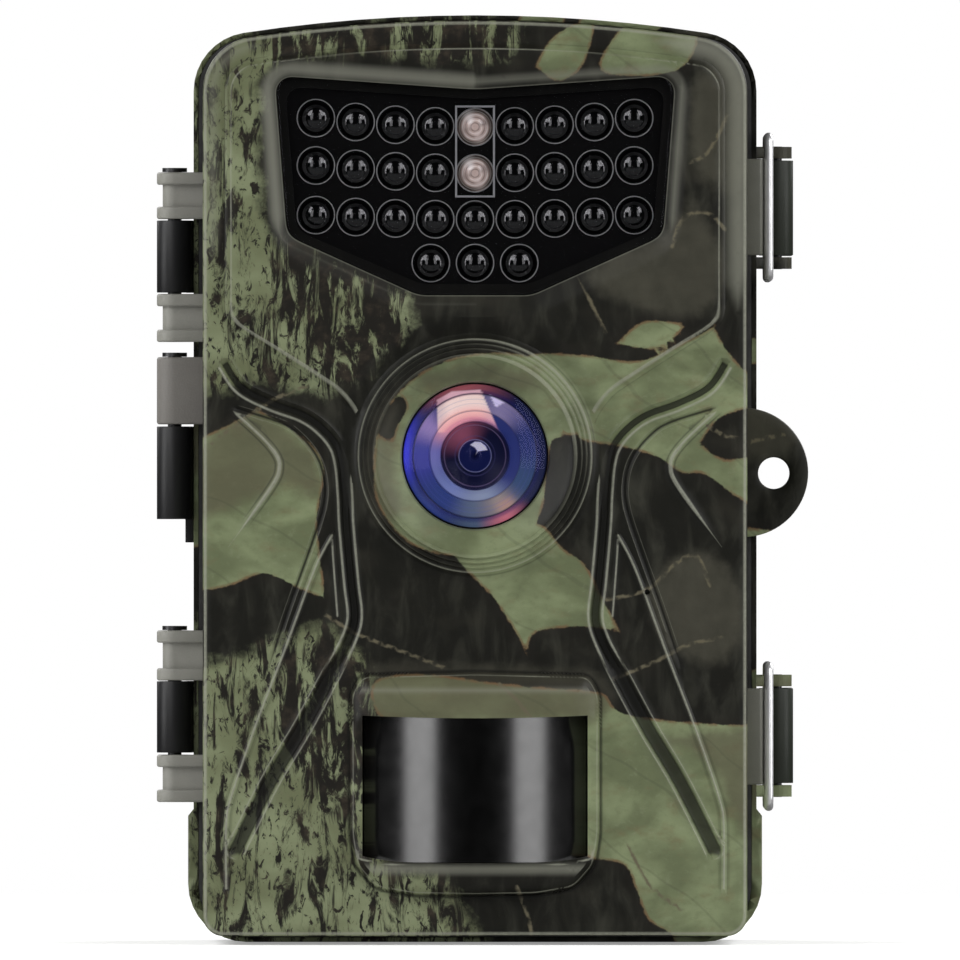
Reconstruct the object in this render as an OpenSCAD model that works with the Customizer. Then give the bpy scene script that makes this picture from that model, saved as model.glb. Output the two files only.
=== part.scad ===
// Trail camera: a rear housing that stands on its base and straps to a tree, and a
// front housing with the optics that swings open on a left-hand hinge.
// Millimetres. Z is up, the camera looks along -Y, and the origin is the mouth of
// the tripod socket.

/* [Case] */
// Half width of the rear housing
rear_half_w = 41; // [40:0.5:43]
// Height of the rear housing
case_h = 135; // [134:0.5:136]
// How far the front housing stands inside the rear one, seen from the front
step_in = 1.6; // [1.4:0.1:1.8]
// Wall thickness of both housings
wall = 2.2; // [2:0.1:2.4]
// Front face of the rear housing, where it meets the door
part_y = -14; // [-14:0.5:-13]
// Back face of the rear housing
back_y = 12; // [12:0.5:13]
// Flat front face of the door
face_y = -48; // [-49:0.5:-48]
// Radius of the crowned top edge
crown_r = 223; // [180:1:300]
// Radius of the top corners
top_corner_r = 8; // [6:0.5:9]

/* [Lens] */
// Height of the lens axis
lens_z = 70.8; // [70:0.1:72]
// Radius of the visible front glass
glass_r = 10.5; // [10:0.1:10.7]

/* [Infrared window] */
// Spacing of the infrared lamps
led_pitch = 5.76; // [5.6:0.02:5.8]
// Radius of one lamp
led_r = 2.5; // [2:0.1:2.5]

/* [Motion sensor] */
// Half width of the sensor's curved window
pir_half_w = 16.1; // [15:0.1:16.5]
// Radius of that curve
pir_r = 31; // [30:0.5:33]

/* [Hinge and latches] */
// Distance of the hinge axis from the middle plane
hinge_x = 43.75; // [43.7:0.05:44.2]
// Radius of the hinge knuckles
knuckle_r = 2.6; // [2.4:0.1:2.6]
// Radius of the hinge pins
hinge_pin_r = 1; // [0.8:0.1:1.2]
// Height of the middle of the upper latch
latch_high_z = 107; // [104:0.5:108]
// Height of the middle of the lower latch
latch_low_z = 30; // [29.5:0.5:33]
// Thickness of the latch's steel wire
wire_d = 1.4; // [1.2:0.1:1.4]

/* [Mountings] */
// Radius of the quarter-inch tripod thread
tripod_r = 3.175; // [3.175:0.001:3.175]
// Radius of the padlock hole
padlock_r = 2.3; // [2:0.1:2.6]
// Height of the slots for a 25 mm strap
strap_h = 28; // [26:1:30]
// Radius of the hole for a locking cable
cable_r = 3.5; // [3:0.1:3.5]

/* [Batteries] */
// Radius of one cell
cell_r = 7.25; // [7:0.05:7.25]
// Length of one cell with its nub
cell_len = 50.5; // [50:0.1:50.5]

/* [Hidden] */
$fn = 48;
eps = 0.05;
door_y = part_y - 0.3;               // back face of the door
front_half_w = rear_half_w - step_in;
front_z0 = 1.3;
front_z1 = case_h - 1.2;
inner_y = face_y + wall;             // inside of the door's front wall
plateau_y = face_y - 1.2;            // raised field around the window
panel_front_y = door_y - 2.2;        // inner panel, lamp side
panel_back_y = door_y - 0.6;         // inner panel, battery side
hinge_y = part_y;
pivot = [rear_half_w + 3, part_y + 8];       // lever pin, in plan
wire_x = rear_half_w + 1.7;                  // bail wire, in plan
bail_y = pivot[1] + 8;                       // bail ends in the lever
bar_y = part_y - 8;                          // bail's front bar
lever_half_h = 6.9;
arm_z = 10.15;                               // bail arms above and below the latch
knuckle_gap = 0.1;
ears = [[112.1, 105.3], [94.4, 87.4], [45.4, 38.1], [27.3, 20.4]];
ear_block = [85.2, 75.4];
barrels = [[94.5, 105.2], [61.5, 75.2], [27.5, 38.1]];
cols = [-1.5, -0.5, 0.5, 1.5];
col_pitch = 15;
cell_y = 1.2;
bays = [12.5, 68.9];                 // floor of each row of cells
bay_h = 54.8;
panel_bosses = [[33.5, 8], [34, 66], [33.5, 121]];
bracket_screw_at = [[18, 18], [18, 72]];
strap_z = [26, 80];                  // lower edge of each strap slot
cable_z = 62;
buttons = [[8, 59], [8, 70], [8, 48], [-3, 59], [19, 59], [29, 70]];
contact_x = [-13, -10, -7];
contact_z = 68.1;
jack_x = 22;
shield_mid = 110.5;
shield_half = [28.8, 15];            // reach of the infrared window from its middle
shield_dip = 13.3;                   // its top edge on the middle plane
sensor_lamp_z = [118.4, 111.7];      // the two clear lamps
sensor_frame_half_w = 2.88;          // printed frame round the clear lamps
sensor_frame_z = [108.2, 121.5];
sensor_frame_line = 0.28;
lamp_depth = 8.5;                    // lamp base behind the inside of the front wall
foot_r = 8.5;                        // rounding of the rear housing's foot
main_board_y = [-25.2, -23.6];
chip_y = [-26.6, -25.25];
socket_y = [-23.5, -18.55];          // memory card socket
socket_slot_y = [-21.25, -18.8];
pocket = [27.5, 7.5, 38];            // half width, floor and ceiling of the interface pocket

plastic = [0.30, 0.33, 0.24];
dark = [0.06, 0.06, 0.06];
steel = [0.75, 0.75, 0.76];
board = [0.07, 0.25, 0.12];

// ---- helpers -------------------------------------------------------------

// Points on an arc, both ends included
function arc(cx, cy, r, a0, a1, n) =
    [for (i = [0:n]) [cx + r * cos(a0 + (a1 - a0) * i / n), cy + r * sin(a0 + (a1 - a0) * i / n)]];

function flip(points) = [for (i = [len(points) - 1:-1:0]) [-points[i][0], points[i][1]]];

// Case outline seen from the front: straight sides, a crowned top and round corners
function case_outline(half_w, z0, z1, low_r, high_r, crown) =
    let (cx = half_w - high_r)
    let (mid = z1 - crown)
    let (cz = mid + sqrt(pow(crown - high_r, 2) - cx * cx))
    let (a = atan2(cz - mid, cx))
    let (right = concat(
        arc(half_w - low_r, z0 + low_r, low_r, -90, 0, 6),
        arc(cx, cz, high_r, 0, a, 8),
        [for (i = [1:5]) [crown * cos(a + (90 - a) * i / 6), mid + crown * sin(a + (90 - a) * i / 6)]]))
    concat(right, [[0, z1]], flip(right));

function front_outline(d) = case_outline(front_half_w - d, front_z0 + d, front_z1 - d,
    max(3 - d, 0.6), top_corner_r - d, crown_r - d);

function rear_outline(d) = case_outline(rear_half_w - d, d, case_h - d,
    8 - d, top_corner_r + 0.6 - d, crown_r - d);

// Shield shape of the infrared window, drawn in by d
function shield(d) =
    let (right = [[8.2, 94], [26.3, 102.2], [27.3, 103.5], [28.9, 124.2], [27.4, 125.7]])
    let (side = [for (p = right) [p[0] * (1 - d / shield_half[0]),
        shield_mid + (p[1] - shield_mid) * (1 - d / shield_half[1])]])
    concat(side, [[0, shield_mid + shield_dip * (1 - d / shield_half[1])]], flip(side));

// Lamp positions: three bowed rows of nine and a last row of three
function lamp_z(row, k) = concat(sensor_lamp_z, [105])[row] + [0.08, 0.07, 0.04][row] * k * k;
lamps = concat(
    [for (row = [0:2]) for (k = [-4:4]) if (row == 2 || k != 0) [k * led_pitch, lamp_z(row, k)]],
    [for (k = [-1:1]) [k * 6.4, 98.7]]);

// An outline in X and Z, from y0 at the front to y1 at the back
module slab(y0, y1) {
    translate([0, y1, 0])
        rotate([90, 0, 0])
            linear_extrude(height = y1 - y0)
                children();
}

// An outline in Y and Z, carried along X
module prism_x(x0, x1, points) {
    translate([x0, 0, 0])
        rotate([90, 0, 90])
            linear_extrude(height = x1 - x0)
                polygon(points);
}

module rod_y(x, z, r, y0, y1) {
    translate([x, y1, z])
        rotate([90, 0, 0])
            cylinder(r = r, h = y1 - y0);
}

module rod_z(x, y, r, z0, z1) {
    translate([x, y, z0])
        cylinder(r = r, h = z1 - z0);
}

module block(x, y, z) {
    translate([x[0], y[0], z[0]])
        cube([x[1] - x[0], y[1] - y[0], z[1] - z[0]]);
}

// A profile of [radius, distance to the front] turned about a line along Y
module turned(x, y, z, points) {
    translate([x, y, z])
        rotate([90, 0, 0])
            rotate_extrude()
                polygon(points);
}

module both_sides() {
    children();
    mirror([1, 0, 0])
        children();
}

// Case slab with a bevelled end: inset by d at y_end
module bevelled(y_end, y_mid, d, front) {
    hull() {
        slab(min(y_end, y_mid), min(y_end, y_mid) + 0.01)
            polygon(front ? front_outline(d) : rear_outline(0));
        slab(max(y_end, y_mid) - 0.01, max(y_end, y_mid))
            polygon(front ? front_outline(0) : rear_outline(d));
    }
}

// ---- rear housing --------------------------------------------------------

module padlock_tab(y0, y1) {
    intersection() {
        rod_y(39.1, 68.4, 9.4, y0, y1);
        block([front_half_w - wall / 2, 60], [y0, y1], [50, 90]);
    }
}

module latch_ears(zc) {
    for (z = [zc - 8.9, zc + 7.2]) {
        rod_z(pivot[0], pivot[1], 2.2, z, z + 1.7);
        block([rear_half_w - 1, pivot[0]], [pivot[1] - 2.2, pivot[1] + 2.2], [z, z + 1.7]);
    }
}

module rear_shell() {
    skirt = concat([[rear_half_w, 19.4], [rear_half_w + 0.8, 18.4]],
        flip([[rear_half_w, 19.4], [rear_half_w + 0.8, 18.4]]));
    foot = arc(rear_half_w + 0.8 - foot_r, foot_r, foot_r, -90, 0, 8);
    color(plastic)
    difference() {
        union() {
            slab(part_y, back_y - 2.5)
                polygon(rear_outline(0));
            bevelled(back_y, back_y - 2.5, 2.5, false);
            slab(part_y, back_y - 2.5)
                polygon(concat(foot, [skirt[1], skirt[0]], flip(concat(foot, [skirt[1], skirt[0]]))));
            latch_ears(latch_high_z);
            latch_ears(latch_low_z);
            padlock_tab(part_y, part_y + 3);
        }
        difference() {
            slab(part_y - 1, back_y - wall)
                polygon(rear_outline(wall));
            // thick floor for the tripod socket and the power inlet
            rod_z(0, 0, 7, -1, 10);
            block([jack_x - 10.3, jack_x + 7.5], [-7, 7], [-1, 4]);
        }
        // groove of the door seal
        difference() {
            slab(part_y - 1, part_y + 0.8)
                polygon(rear_outline(0.7));
            slab(part_y - 2, part_y + 1)
                polygon(rear_outline(1.6));
        }
        rod_z(0, 0, 4.85, -1, 9.1);
        block([jack_x - 8.8, jack_x + 6], [-5.5, 5.5], [-1, 2.5]);
        rod_z(jack_x, 0, 3, 0, 5);
        rod_y(43.5, 68.3, padlock_r, part_y - 1, part_y + 4);
        for (zc = [latch_high_z, latch_low_z])
            rod_z(pivot[0], pivot[1], 0.75, zc - 10, zc + 10);
        both_sides()
            for (p = bracket_screw_at)
                rod_y(p[0], p[1], 1.45, back_y - 3, back_y + 1);
    }
}

module door_seal() {
    color("black")
    difference() {
        slab(part_y - 0.2, part_y + 0.75)
            polygon(rear_outline(0.75));
        slab(part_y - 1, part_y + 1)
            polygon(rear_outline(1.55));
    }
}

module battery_tray() {
    color([0.12, 0.12, 0.12])
    difference() {
        block([-31.2, 31.2], [-8, 9.6], [11, 125.2]);
        for (z = bays) {
            block([-29.8, 29.8], [-9, cell_y + 2], [z, z + bay_h]);
            for (c = cols)
                rod_z(c * col_pitch, cell_y, cell_r + 0.12, z, z + bay_h);
        }
    }
}

// Each cell lies nub up or nub down in turn; this is +1 for nub up
function nub(c, row) = (floor(c + 2) + row) % 2 == 0 ? 1 : -1;

module battery_cells() {
    color([0.2, 0.35, 0.25])
    for (row = [0, 1])
        for (c = cols)
            translate([c * col_pitch, cell_y, bays[row] + bay_h / 2 + nub(c, row) * 1.55])
                rotate([nub(c, row) > 0 ? 0 : 180, 0, 0])
                    translate([0, 0, -cell_len / 2])
                        rotate_extrude()
                            polygon([[0, 0], [cell_r - 0.6, 0], [cell_r, 0.6],
                                [cell_r, cell_len - 2.1], [cell_r - 0.6, cell_len - 1.5],
                                [2.75, cell_len - 1.5], [2.75, cell_len - 0.2], [2.5, cell_len], [0, cell_len]]);
}

// Conical contact springs, drawn as one wavy cone each
module battery_springs() {
    coil = [[1.6, 0], [2.2, 0.6], [1.8, 1.1], [2.9, 1.7], [2.5, 2.2], [3.6, 2.8], [3.4, 3.2]];
    inside = [for (i = [len(coil) - 1:-1:0]) [coil[i][0] - 0.8, coil[i][1]]];
    color(steel)
    for (row = [0, 1])
        for (c = cols)
            translate([c * col_pitch, cell_y, bays[row] + bay_h / 2 - nub(c, row) * (bay_h / 2 - 3.7)])
                rotate([nub(c, row) > 0 ? 180 : 0, 0, 0])
                    rotate_extrude()
                        polygon(concat(coil, inside));
}

module battery_contacts() {
    color(steel)
    for (z = bays)
        for (c = cols)
            for (end = [z + eps, z + bay_h - 0.35])
                block([c * col_pitch - 4.5, c * col_pitch + 4.5], [-4.5, 6.9], [end, end + 0.3]);
}

module power_contact_pads() {
    color([0.85, 0.7, 0.35])
    for (x = contact_x)
        rod_y(x, contact_z, 1.4 / 2, -8.35, -8);
}

module tree_bracket() {
    // a tooth every 6 mm along the back edge of each rib
    teeth = [for (i = [0:15]) for (p = [[24, 0], [22.2, 3]]) [p[0], 14 + i * 6 + p[1]]];
    color([0.16, 0.18, 0.13])
    difference() {
        union() {
            block([-29, 29], [back_y, back_y + 3], [12, 112]);
            both_sides()
                prism_x(22, 27, concat([[back_y + 2, 12], [22, 12]], teeth, [[22, 112], [back_y + 2, 112]]));
        }
        for (z = strap_z)
            block([-40, 40], [16, 20.6], [z, z + strap_h]);
        translate([-40, 19.2, cable_z])
            rotate([0, 90, 0])
                cylinder(r = cable_r, h = 80);
        both_sides()
            for (p = bracket_screw_at)
                rod_y(p[0], p[1], 1.6, back_y - 1, back_y + 4);
    }
}

module screw_y(x, z, head_y, tip_y, head_r, shank_r) {
    // pan head towards +Y with a cross recess
    difference() {
        union() {
            rod_y(x, z, shank_r, tip_y, head_y + 0.1);
            turned(x, head_y + 1.7, z, [[0, 0], [head_r * 0.6, 0], [head_r, 0.7], [head_r, 1.7], [0, 1.7]]);
        }
        block([x - head_r * 0.6, x + head_r * 0.6], [head_y + 0.8, head_y + 3], [z - 0.3, z + 0.3]);
        block([x - 0.3, x + 0.3], [head_y + 0.8, head_y + 3], [z - head_r * 0.6, z + head_r * 0.6]);
    }
}

module bracket_screws() {
    color(steel)
    both_sides()
        for (p = bracket_screw_at)
            screw_y(p[0], p[1], back_y + 3, back_y - 2, 2.8, 1.4);
}

module tripod_insert() {
    color([0.75, 0.6, 0.3])
    difference() {
        rod_z(0, 0, 4.8, 0, 9);
        rod_z(0, 0, tripod_r, -1, 8.2);
    }
}

module hinge_barrels() {
    color(dark)
    difference() {
        union() {
            for (b = barrels) {
                rod_z(-hinge_x, hinge_y, knuckle_r, b[0] + knuckle_gap, b[1] - knuckle_gap);
                block([-hinge_x, -rear_half_w], [hinge_y + 0.4, hinge_y + knuckle_r],
                    [b[0] + knuckle_gap, b[1] - knuckle_gap]);
                block([-rear_half_w - 1.2, -rear_half_w], [hinge_y + 0.4, hinge_y + 8],
                    [b[0] + knuckle_gap, b[1] - knuckle_gap]);
            }
            block([-rear_half_w - 1.2, -rear_half_w], [hinge_y + 0.4, hinge_y + 8], [58.2, 62]);
        }
        rod_z(-hinge_x, hinge_y, hinge_pin_r, 15, 120);
    }
}

module hinge_pins() {
    color(steel)
    for (span = [[87.8, 112.6], [61.8, 85.7], [20.8, 45.9]]) {
        rod_z(-hinge_x, hinge_y, hinge_pin_r, span[0], span[1]);
        translate([-hinge_x, hinge_y, span[1] - 0.45])
            cylinder(r = 1.8, h = 0.6);
    }
}

module latch_pins() {
    color(steel)
    for (zc = [latch_high_z, latch_low_z])
        rod_z(pivot[0], pivot[1], 0.75, zc - 8.95, zc + 8.95);
}

module dc_jack() {
    color(dark) {
        difference() {
            rod_z(jack_x, 0, 4.2, 4.05, 10.8);
            rod_z(jack_x, 0, 2.9, 4, 10);
        }
        rod_z(jack_x, 0, 1, 5.6, 10.2);
    }
}

module dc_plug() {
    color([0.1, 0.1, 0.1]) {
        block([jack_x - 7.6, jack_x + 5.6], [-5.1, 5.1], [0.3, 2]);
        rod_z(jack_x, 0, 2.3, 1.9, 5);
    }
}

// ---- latches -------------------------------------------------------------

module latch_lever(zc) {
    plan = [[41.5, -3.6], [41.5, 4.6], [43.4, 6.2], [43.9, 12.2], [45.2, 14.6],
        [46.4, 14.2], [45.7, 11], [46.2, 6], [46.4, -6], [44, -6]];
    color(plastic)
    difference() {
        union() {
            rod_z(pivot[0], pivot[1], 2.4, zc - lever_half_h, zc + lever_half_h);
            translate([0, 0, zc - lever_half_h])
                linear_extrude(height = 2 * lever_half_h)
                    polygon([for (p = plan) [p[0] - 41 + rear_half_w, p[1] + 14 + part_y]]);
        }
        rod_z(pivot[0], pivot[1], 0.82, zc - 10, zc + 10);
        for (side = [-1, 1])
            translate([wire_x, bail_y, zc + side * lever_half_h - 1.8])
                cylinder(r = wire_d / 2 + 0.08, h = 3.6);
    }
}

module wire_bail(zc) {
    r = wire_d / 2;
    color(steel) {
        rod_z(wire_x, bar_y, r, zc - arm_z, zc + arm_z);
        for (side = [-1, 1]) {
            translate([wire_x, bail_y, zc + side * arm_z])
                rotate([90, 0, 0])
                    cylinder(r = r, h = bail_y - bar_y);
            translate([wire_x, bar_y, zc + side * arm_z])
                sphere(r = r);
            translate([wire_x, bail_y, zc + side * arm_z])
                sphere(r = r);
            translate([wire_x, bail_y, zc + min(side * arm_z, side * (lever_half_h - 1.5))])
                cylinder(r = r, h = arm_z - lever_half_h + 1.5);
        }
    }
}

module latch_lever_upper() { latch_lever(latch_high_z); }
module latch_lever_lower() { latch_lever(latch_low_z); }
module wire_bail_upper() { wire_bail(latch_high_z); }
module wire_bail_lower() { wire_bail(latch_low_z); }

// ---- door: front shell ---------------------------------------------------

// One end of a hinge: two thin plates, a boss between them and a web to the case
module door_ear(z1, z0) {
    for (z = [z0, z1 - 1.8]) {
        rod_z(-hinge_x, hinge_y, knuckle_r, z, z + 1.8);
        block([-hinge_x, -front_half_w + 1], [hinge_y - knuckle_r, door_y], [z, z + 1.8]);
    }
    rod_z(-hinge_x, hinge_y, 1.9, z0, z1);
    block([-hinge_x, -front_half_w + 1], [hinge_y - 1.9, door_y], [z0, z1]);
}

module catch_hook(zc) {
    block([front_half_w - 1, rear_half_w + 0.8], [part_y - 10, part_y - 4.5], [zc - 7, zc + 7]);
    block([front_half_w - 1, rear_half_w + 2.3], [part_y - 7.05, part_y - 5.2], [zc - 7, zc + 7]);
}

module raised_field() {
    // field around the infrared window, narrowing to the lens
    right = [[15.5, 66], [17.2, 74], [20, 79.5], [29.4, 85.8], [36.2, 91.7]];
    top = [for (p = front_outline(3.2)) if (p[1] > 92 && p[0] > 0) p];
    slab(plateau_y, face_y + 0.1)
        polygon(concat(right, top, [[0, front_z1 - 3.2]], flip(concat(right, top))));
}

module pir_surround() {
    prism_x(-17.9, 17.9, [[face_y + 0.1, 39.3], [face_y - 2, 38.4], [face_y - 3.4, 34.4],
        [face_y - 3.4, 30], [face_y - 1.8, 12], [face_y - 1.6, 9.5], [face_y + 0.1, 7.1]]);
}

module front_shell() {
    color(plastic)
    difference() {
        union() {
            slab(face_y + 2, door_y)
                polygon(front_outline(0));
            bevelled(face_y, face_y + 2, 2, true);
            raised_field();
            pir_surround();
            turned(0, face_y, lens_z, [[9, -0.1], [16.3, -0.1], [16.3, 1], [15.6, 1.9], [14.4, 2.3], [9, 2.3]]);
            for (e = ears)
                door_ear(e[0], e[1]);
            rod_z(-hinge_x, hinge_y, knuckle_r, ear_block[1], ear_block[0]);
            block([-hinge_x, -front_half_w + 1], [hinge_y - knuckle_r, door_y], [ear_block[1], ear_block[0]]);
            catch_hook(latch_high_z);
            catch_hook(latch_low_z);
            padlock_tab(door_y - 3, door_y);
        }
        difference() {
            slab(inner_y, door_y + 1)
                polygon(front_outline(wall));
            both_sides()
                for (p = panel_bosses)
                    rod_y(p[0], p[1], 2.4, inner_y - 1, panel_front_y - eps);
        }
        both_sides()
            for (p = panel_bosses)
                rod_y(p[0], p[1], 0.95, panel_front_y - 9, door_y);
        // window recess and the opening behind it
        slab(plateau_y - 1, face_y + 1.6)
            polygon(shield(-0.1));
        slab(face_y + 1, inner_y + 0.1)
            polygon(shield(1.5));
        // funnel and bore of the lens
        turned(0, face_y, lens_z, [[0, 3], [14.1, 3], [14.1, 2.2], [glass_r + 0.4, -0.4],
            [glass_r + 0.1, -1], [glass_r + 0.1, -wall - 0.1], [0, -wall - 0.1]]);
        block([-pir_half_w - 0.2, pir_half_w + 0.2], [face_y - 6, inner_y + 0.1], [11.8, 33.3]);
        rod_y(24.9, 51.1, 0.4, face_y - 1, inner_y + 0.1);
        rod_z(-hinge_x, hinge_y, hinge_pin_r + 0.06, 15, 120);
        rod_y(43.5, 68.3, padlock_r, door_y - 4, door_y + 1);
    }
}

// ---- door: infrared lamps ------------------------------------------------

module ir_window() {
    color([0.03, 0.03, 0.03, 0.6])
    slab(face_y, face_y + 1.58)
        polygon(shield(0));
}

module led_holder() {
    color(dark)
    difference() {
        slab(inner_y + 0.1, inner_y + 3.1)
            polygon(shield(0.3));
        for (p = concat(lamps, [for (z = sensor_lamp_z) [0, z]]))
            rod_y(p[0], p[1], 2.75, inner_y - 1, inner_y + 4);
    }
}

// A round-nosed lamp with its base flange
module lamp(x, z) {
    base_y = inner_y + lamp_depth;
    dome = arc(0, 6.1, led_r, 90, 0, 6);
    turned(x, base_y, z, concat([[0, 0], [led_r + 0.3, 0], [led_r + 0.3, 1], [led_r, 1]],
        [for (i = [len(dome) - 1:-1:0]) dome[i]]));
}

module ir_leds() {
    color(dark)
    for (p = lamps)
        lamp(p[0], p[1]);
}

module light_sensor() {
    color([0.9, 0.85, 0.85])
    lamp(0, sensor_lamp_z[0]);
}

module status_led() {
    color([0.9, 0.8, 0.8])
    lamp(0, sensor_lamp_z[1]);
}

module sensor_frame() {
    color([0.7, 0.7, 0.7])
    difference() {
        block([-sensor_frame_half_w, sensor_frame_half_w], [face_y + 1.65, face_y + 1.95], sensor_frame_z);
        block([-1, 1] * (sensor_frame_half_w - sensor_frame_line), [face_y + 1, face_y + 3],
            sensor_frame_z + [1, -1] * sensor_frame_line);
    }
}

module led_board() {
    color(board)
    slab(inner_y + 8.6, inner_y + 10.2)
        polygon(shield(0.3));
}

// ---- door: lens ----------------------------------------------------------

module lens_glass() {
    sag = 1.6;
    ball_r = (glass_r * glass_r + sag * sag) / (2 * sag);
    front = [for (i = [0:8]) let (r = glass_r * i / 8) [r, 0.4 - ball_r + sqrt(ball_r * ball_r - r * r)]];
    color([0.2, 0.25, 0.6, 0.5])
    turned(0, face_y, lens_z, concat([for (i = [8:-1:0]) front[i]], [[0, -wall + 0.1], [glass_r, -wall + 0.1]]));
}

module lens_barrel() {
    color([0.02, 0.02, 0.02])
    turned(0, inner_y + 0.1, lens_z, [[9.2, 0], [10.35, 0], [10.35, -12.6], [3.8, -12.6], [3.8, -11.8],
        [4.7, -11.8], [4.7, -7.7], [6, -7.7], [6, -4.7], [7.6, -4.7], [7.6, -1.6], [9.2, -1.6]]);
}

// A biconvex glass: radius, edge thickness and bulge
module element(r, y, edge, bulge) {
    side = [for (i = [0:6]) [r * (1 - i / 6), edge / 2 + bulge * (1 - pow(1 - i / 6, 2))]];
    turned(0, y, lens_z, concat([[0, -edge / 2 - bulge]],
        [for (i = [5:-1:0]) [side[i][0], -side[i][1]]], side));
}

module lens_elements() {
    color([0.4, 0.4, 0.7, 0.6]) {
        element(7.5, inner_y + 3.3, 1, 0.8);
        element(5.9, inner_y + 6.3, 1, 0.8);
        element(4.6, inner_y + 9.9, 1.2, 0.7);
    }
}

module lens_holder() {
    color([0.08, 0.08, 0.08])
    turned(0, inner_y + 0.1, lens_z, [[10.45, 0], [14.8, 0], [14.8, -1.5], [12.2, -1.5], [12.2, -17.3],
        [9, -17.3], [9, -14.7], [5, -14.7], [5, -12.7], [10.45, -12.7]]);
}

module ir_cut_filter() {
    color([0.5, 0.75, 0.8])
    block([-4.5, 4.5], [inner_y + 14.9, inner_y + 15.3], [lens_z - 4.5, lens_z + 4.5]);
}

module image_sensor() {
    color([0.2, 0.2, 0.3])
    block([-4, 4], [inner_y + 16.2, inner_y + 17.4], [lens_z - 4, lens_z + 4]);
}

module sensor_board() {
    color(board)
    block([-13, 13], [inner_y + 17.5, inner_y + 18.7], [lens_z - 13, lens_z + 13]);
}

// ---- door: motion sensor -------------------------------------------------

module pir_lens() {
    color([0.05, 0.05, 0.05])
    intersection() {
        difference() {
            rod_z(0, face_y - 3.4 + pir_r, pir_r, 12, 33.1);
            rod_z(0, face_y - 3.4 + pir_r, pir_r - 1.2, 11, 34);
        }
        block([-pir_half_w, pir_half_w], [face_y - 6, face_y + 3], [12, 33.1]);
    }
}

module pir_holder() {
    color([0.1, 0.1, 0.1])
    difference() {
        block([-15, 15], [inner_y + 1, inner_y + 7.2], [13, 32.5]);
        block([-13.4, 13.4], [inner_y, inner_y + 5.6], [14.6, 31]);
        rod_y(0, 22.6, 4.8, inner_y, inner_y + 8);
    }
}

module pir_sensor() {
    color(steel)
    turned(0, inner_y + 10, 22.6, [[0, 0], [5.2, 0], [5.2, 0.9], [4.6, 0.9], [4.6, 4.6], [4.2, 5], [0, 5]]);
}

// ---- door: electronics ---------------------------------------------------

module main_board() {
    color(board)
    difference() {
        block([-34.5, 34.5], main_board_y, [41, 128]);
        both_sides()
            for (p = panel_bosses)
                rod_y(p[0], p[1], 2.7, -26, -23);
    }
}

module board_chips() {
    chips = [[-18, 100, 14, 14], [4, 100, 10, 9], [20, 104, 7, 6], [-24, 78, 6, 8], [24, 80, 8, 6], [-20, 52, 5, 5]];
    color([0.1, 0.1, 0.1]) {
        for (c = chips)
            block([c[0] - c[2] / 2, c[0] + c[2] / 2], chip_y, [c[1] - c[3] / 2, c[1] + c[3] / 2]);
        for (x = [14, 24])
            rod_y(x, 48, 3.2, -33, chip_y[1]);
    }
}

module microphone() {
    color(steel)
    rod_y(24.9, 51.1, 3, inner_y + 0.1, inner_y + 3);
}

module inner_panel() {
    color([0.14, 0.14, 0.14])
    difference() {
        union() {
            slab(panel_front_y, panel_back_y)
                polygon(front_outline(wall + 0.2));
            block([-pocket[0] - 1.5, pocket[0] + 1.5], [-24.5, panel_back_y - 0.2],
                [pocket[1] - 1.5, pocket[2] + 1.5]);
        }
        block([-pocket[0], pocket[0]], [-23, panel_back_y + 1], [pocket[1], pocket[2]]);
        // screen: recess for its window and the opening behind
        block([-27.1, 27.1], [panel_back_y - 1, panel_back_y + 1], [83.9, 124.1]);
        block([-25.5, 25.5], [panel_front_y - 1, panel_back_y], [85.5, 122.5]);
        for (b = buttons)
            rod_y(b[0], b[1], 3.4, panel_front_y - 1, panel_back_y + 1);
        block([-29.4, -16.6], [panel_front_y - 1, panel_back_y + 1], [57.6, 60.4]);
        // card slot and USB opening in the ceiling of the pocket
        block([3.2, 27.8], [-21.4, -18.6], [pocket[2] - 1, pocket[2] + 2]);
        block([-21.8, -12.2], [-22.7, -18.9], [pocket[2] - 1, pocket[2] + 2]);
        for (x = contact_x)
            rod_y(x, contact_z, 0.95, panel_front_y - 1, panel_back_y + 1);
        both_sides()
            for (p = panel_bosses)
                rod_y(p[0], p[1], 1.15, panel_front_y - 1, panel_back_y + 1);
    }
}

module panel_screws() {
    color(steel)
    both_sides()
        for (p = panel_bosses)
            screw_y(p[0], p[1], panel_back_y, panel_front_y - 7, 2, 0.9);
}

module lcd_module() {
    color([0.3, 0.32, 0.35])
    block([-30, 30], [-21.6, -17.7], [82, 126]);
}

module lcd_window() {
    color([0.1, 0.12, 0.15, 0.7])
    block([-27, 27], [panel_back_y - 0.95, panel_back_y], [84, 124]);
}

module keypad_board() {
    color(board)
    block([-9, 33.5], [-18.45, -17.65], [42, 63]);
    color(board)
    block([-9, 30.8], [-18.45, -17.65], [63, 76]);
}

module button(at) {
    color([0.5, 0.5, 0.5])
    turned(at[0], panel_front_y - 0.6, at[1], [[0, 0], [3.9, 0], [3.9, -0.5], [3.2, -0.5],
        [3.2, -3], [2.8, -3.3], [0, -3.3]]);
}

module button_ok() { button(buttons[0]); }
module button_up() { button(buttons[1]); }
module button_down() { button(buttons[2]); }
module button_left() { button(buttons[3]); }
module button_right() { button(buttons[4]); }
module button_menu() { button(buttons[5]); }

module mode_switch_body() {
    color([0.2, 0.2, 0.2])
    difference() {
        block([-31, -15], [-22, -17.65], [55.5, 62.5]);
        block([-29.5, -16.5], [-19.6, -17], [57.5, 60.5]);
    }
}

module mode_switch_knob() {
    color([0.8, 0.8, 0.8])
    block([-28.9, -24.9], [-19.4, -13.7], [57.8, 60.2]);
}

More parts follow.
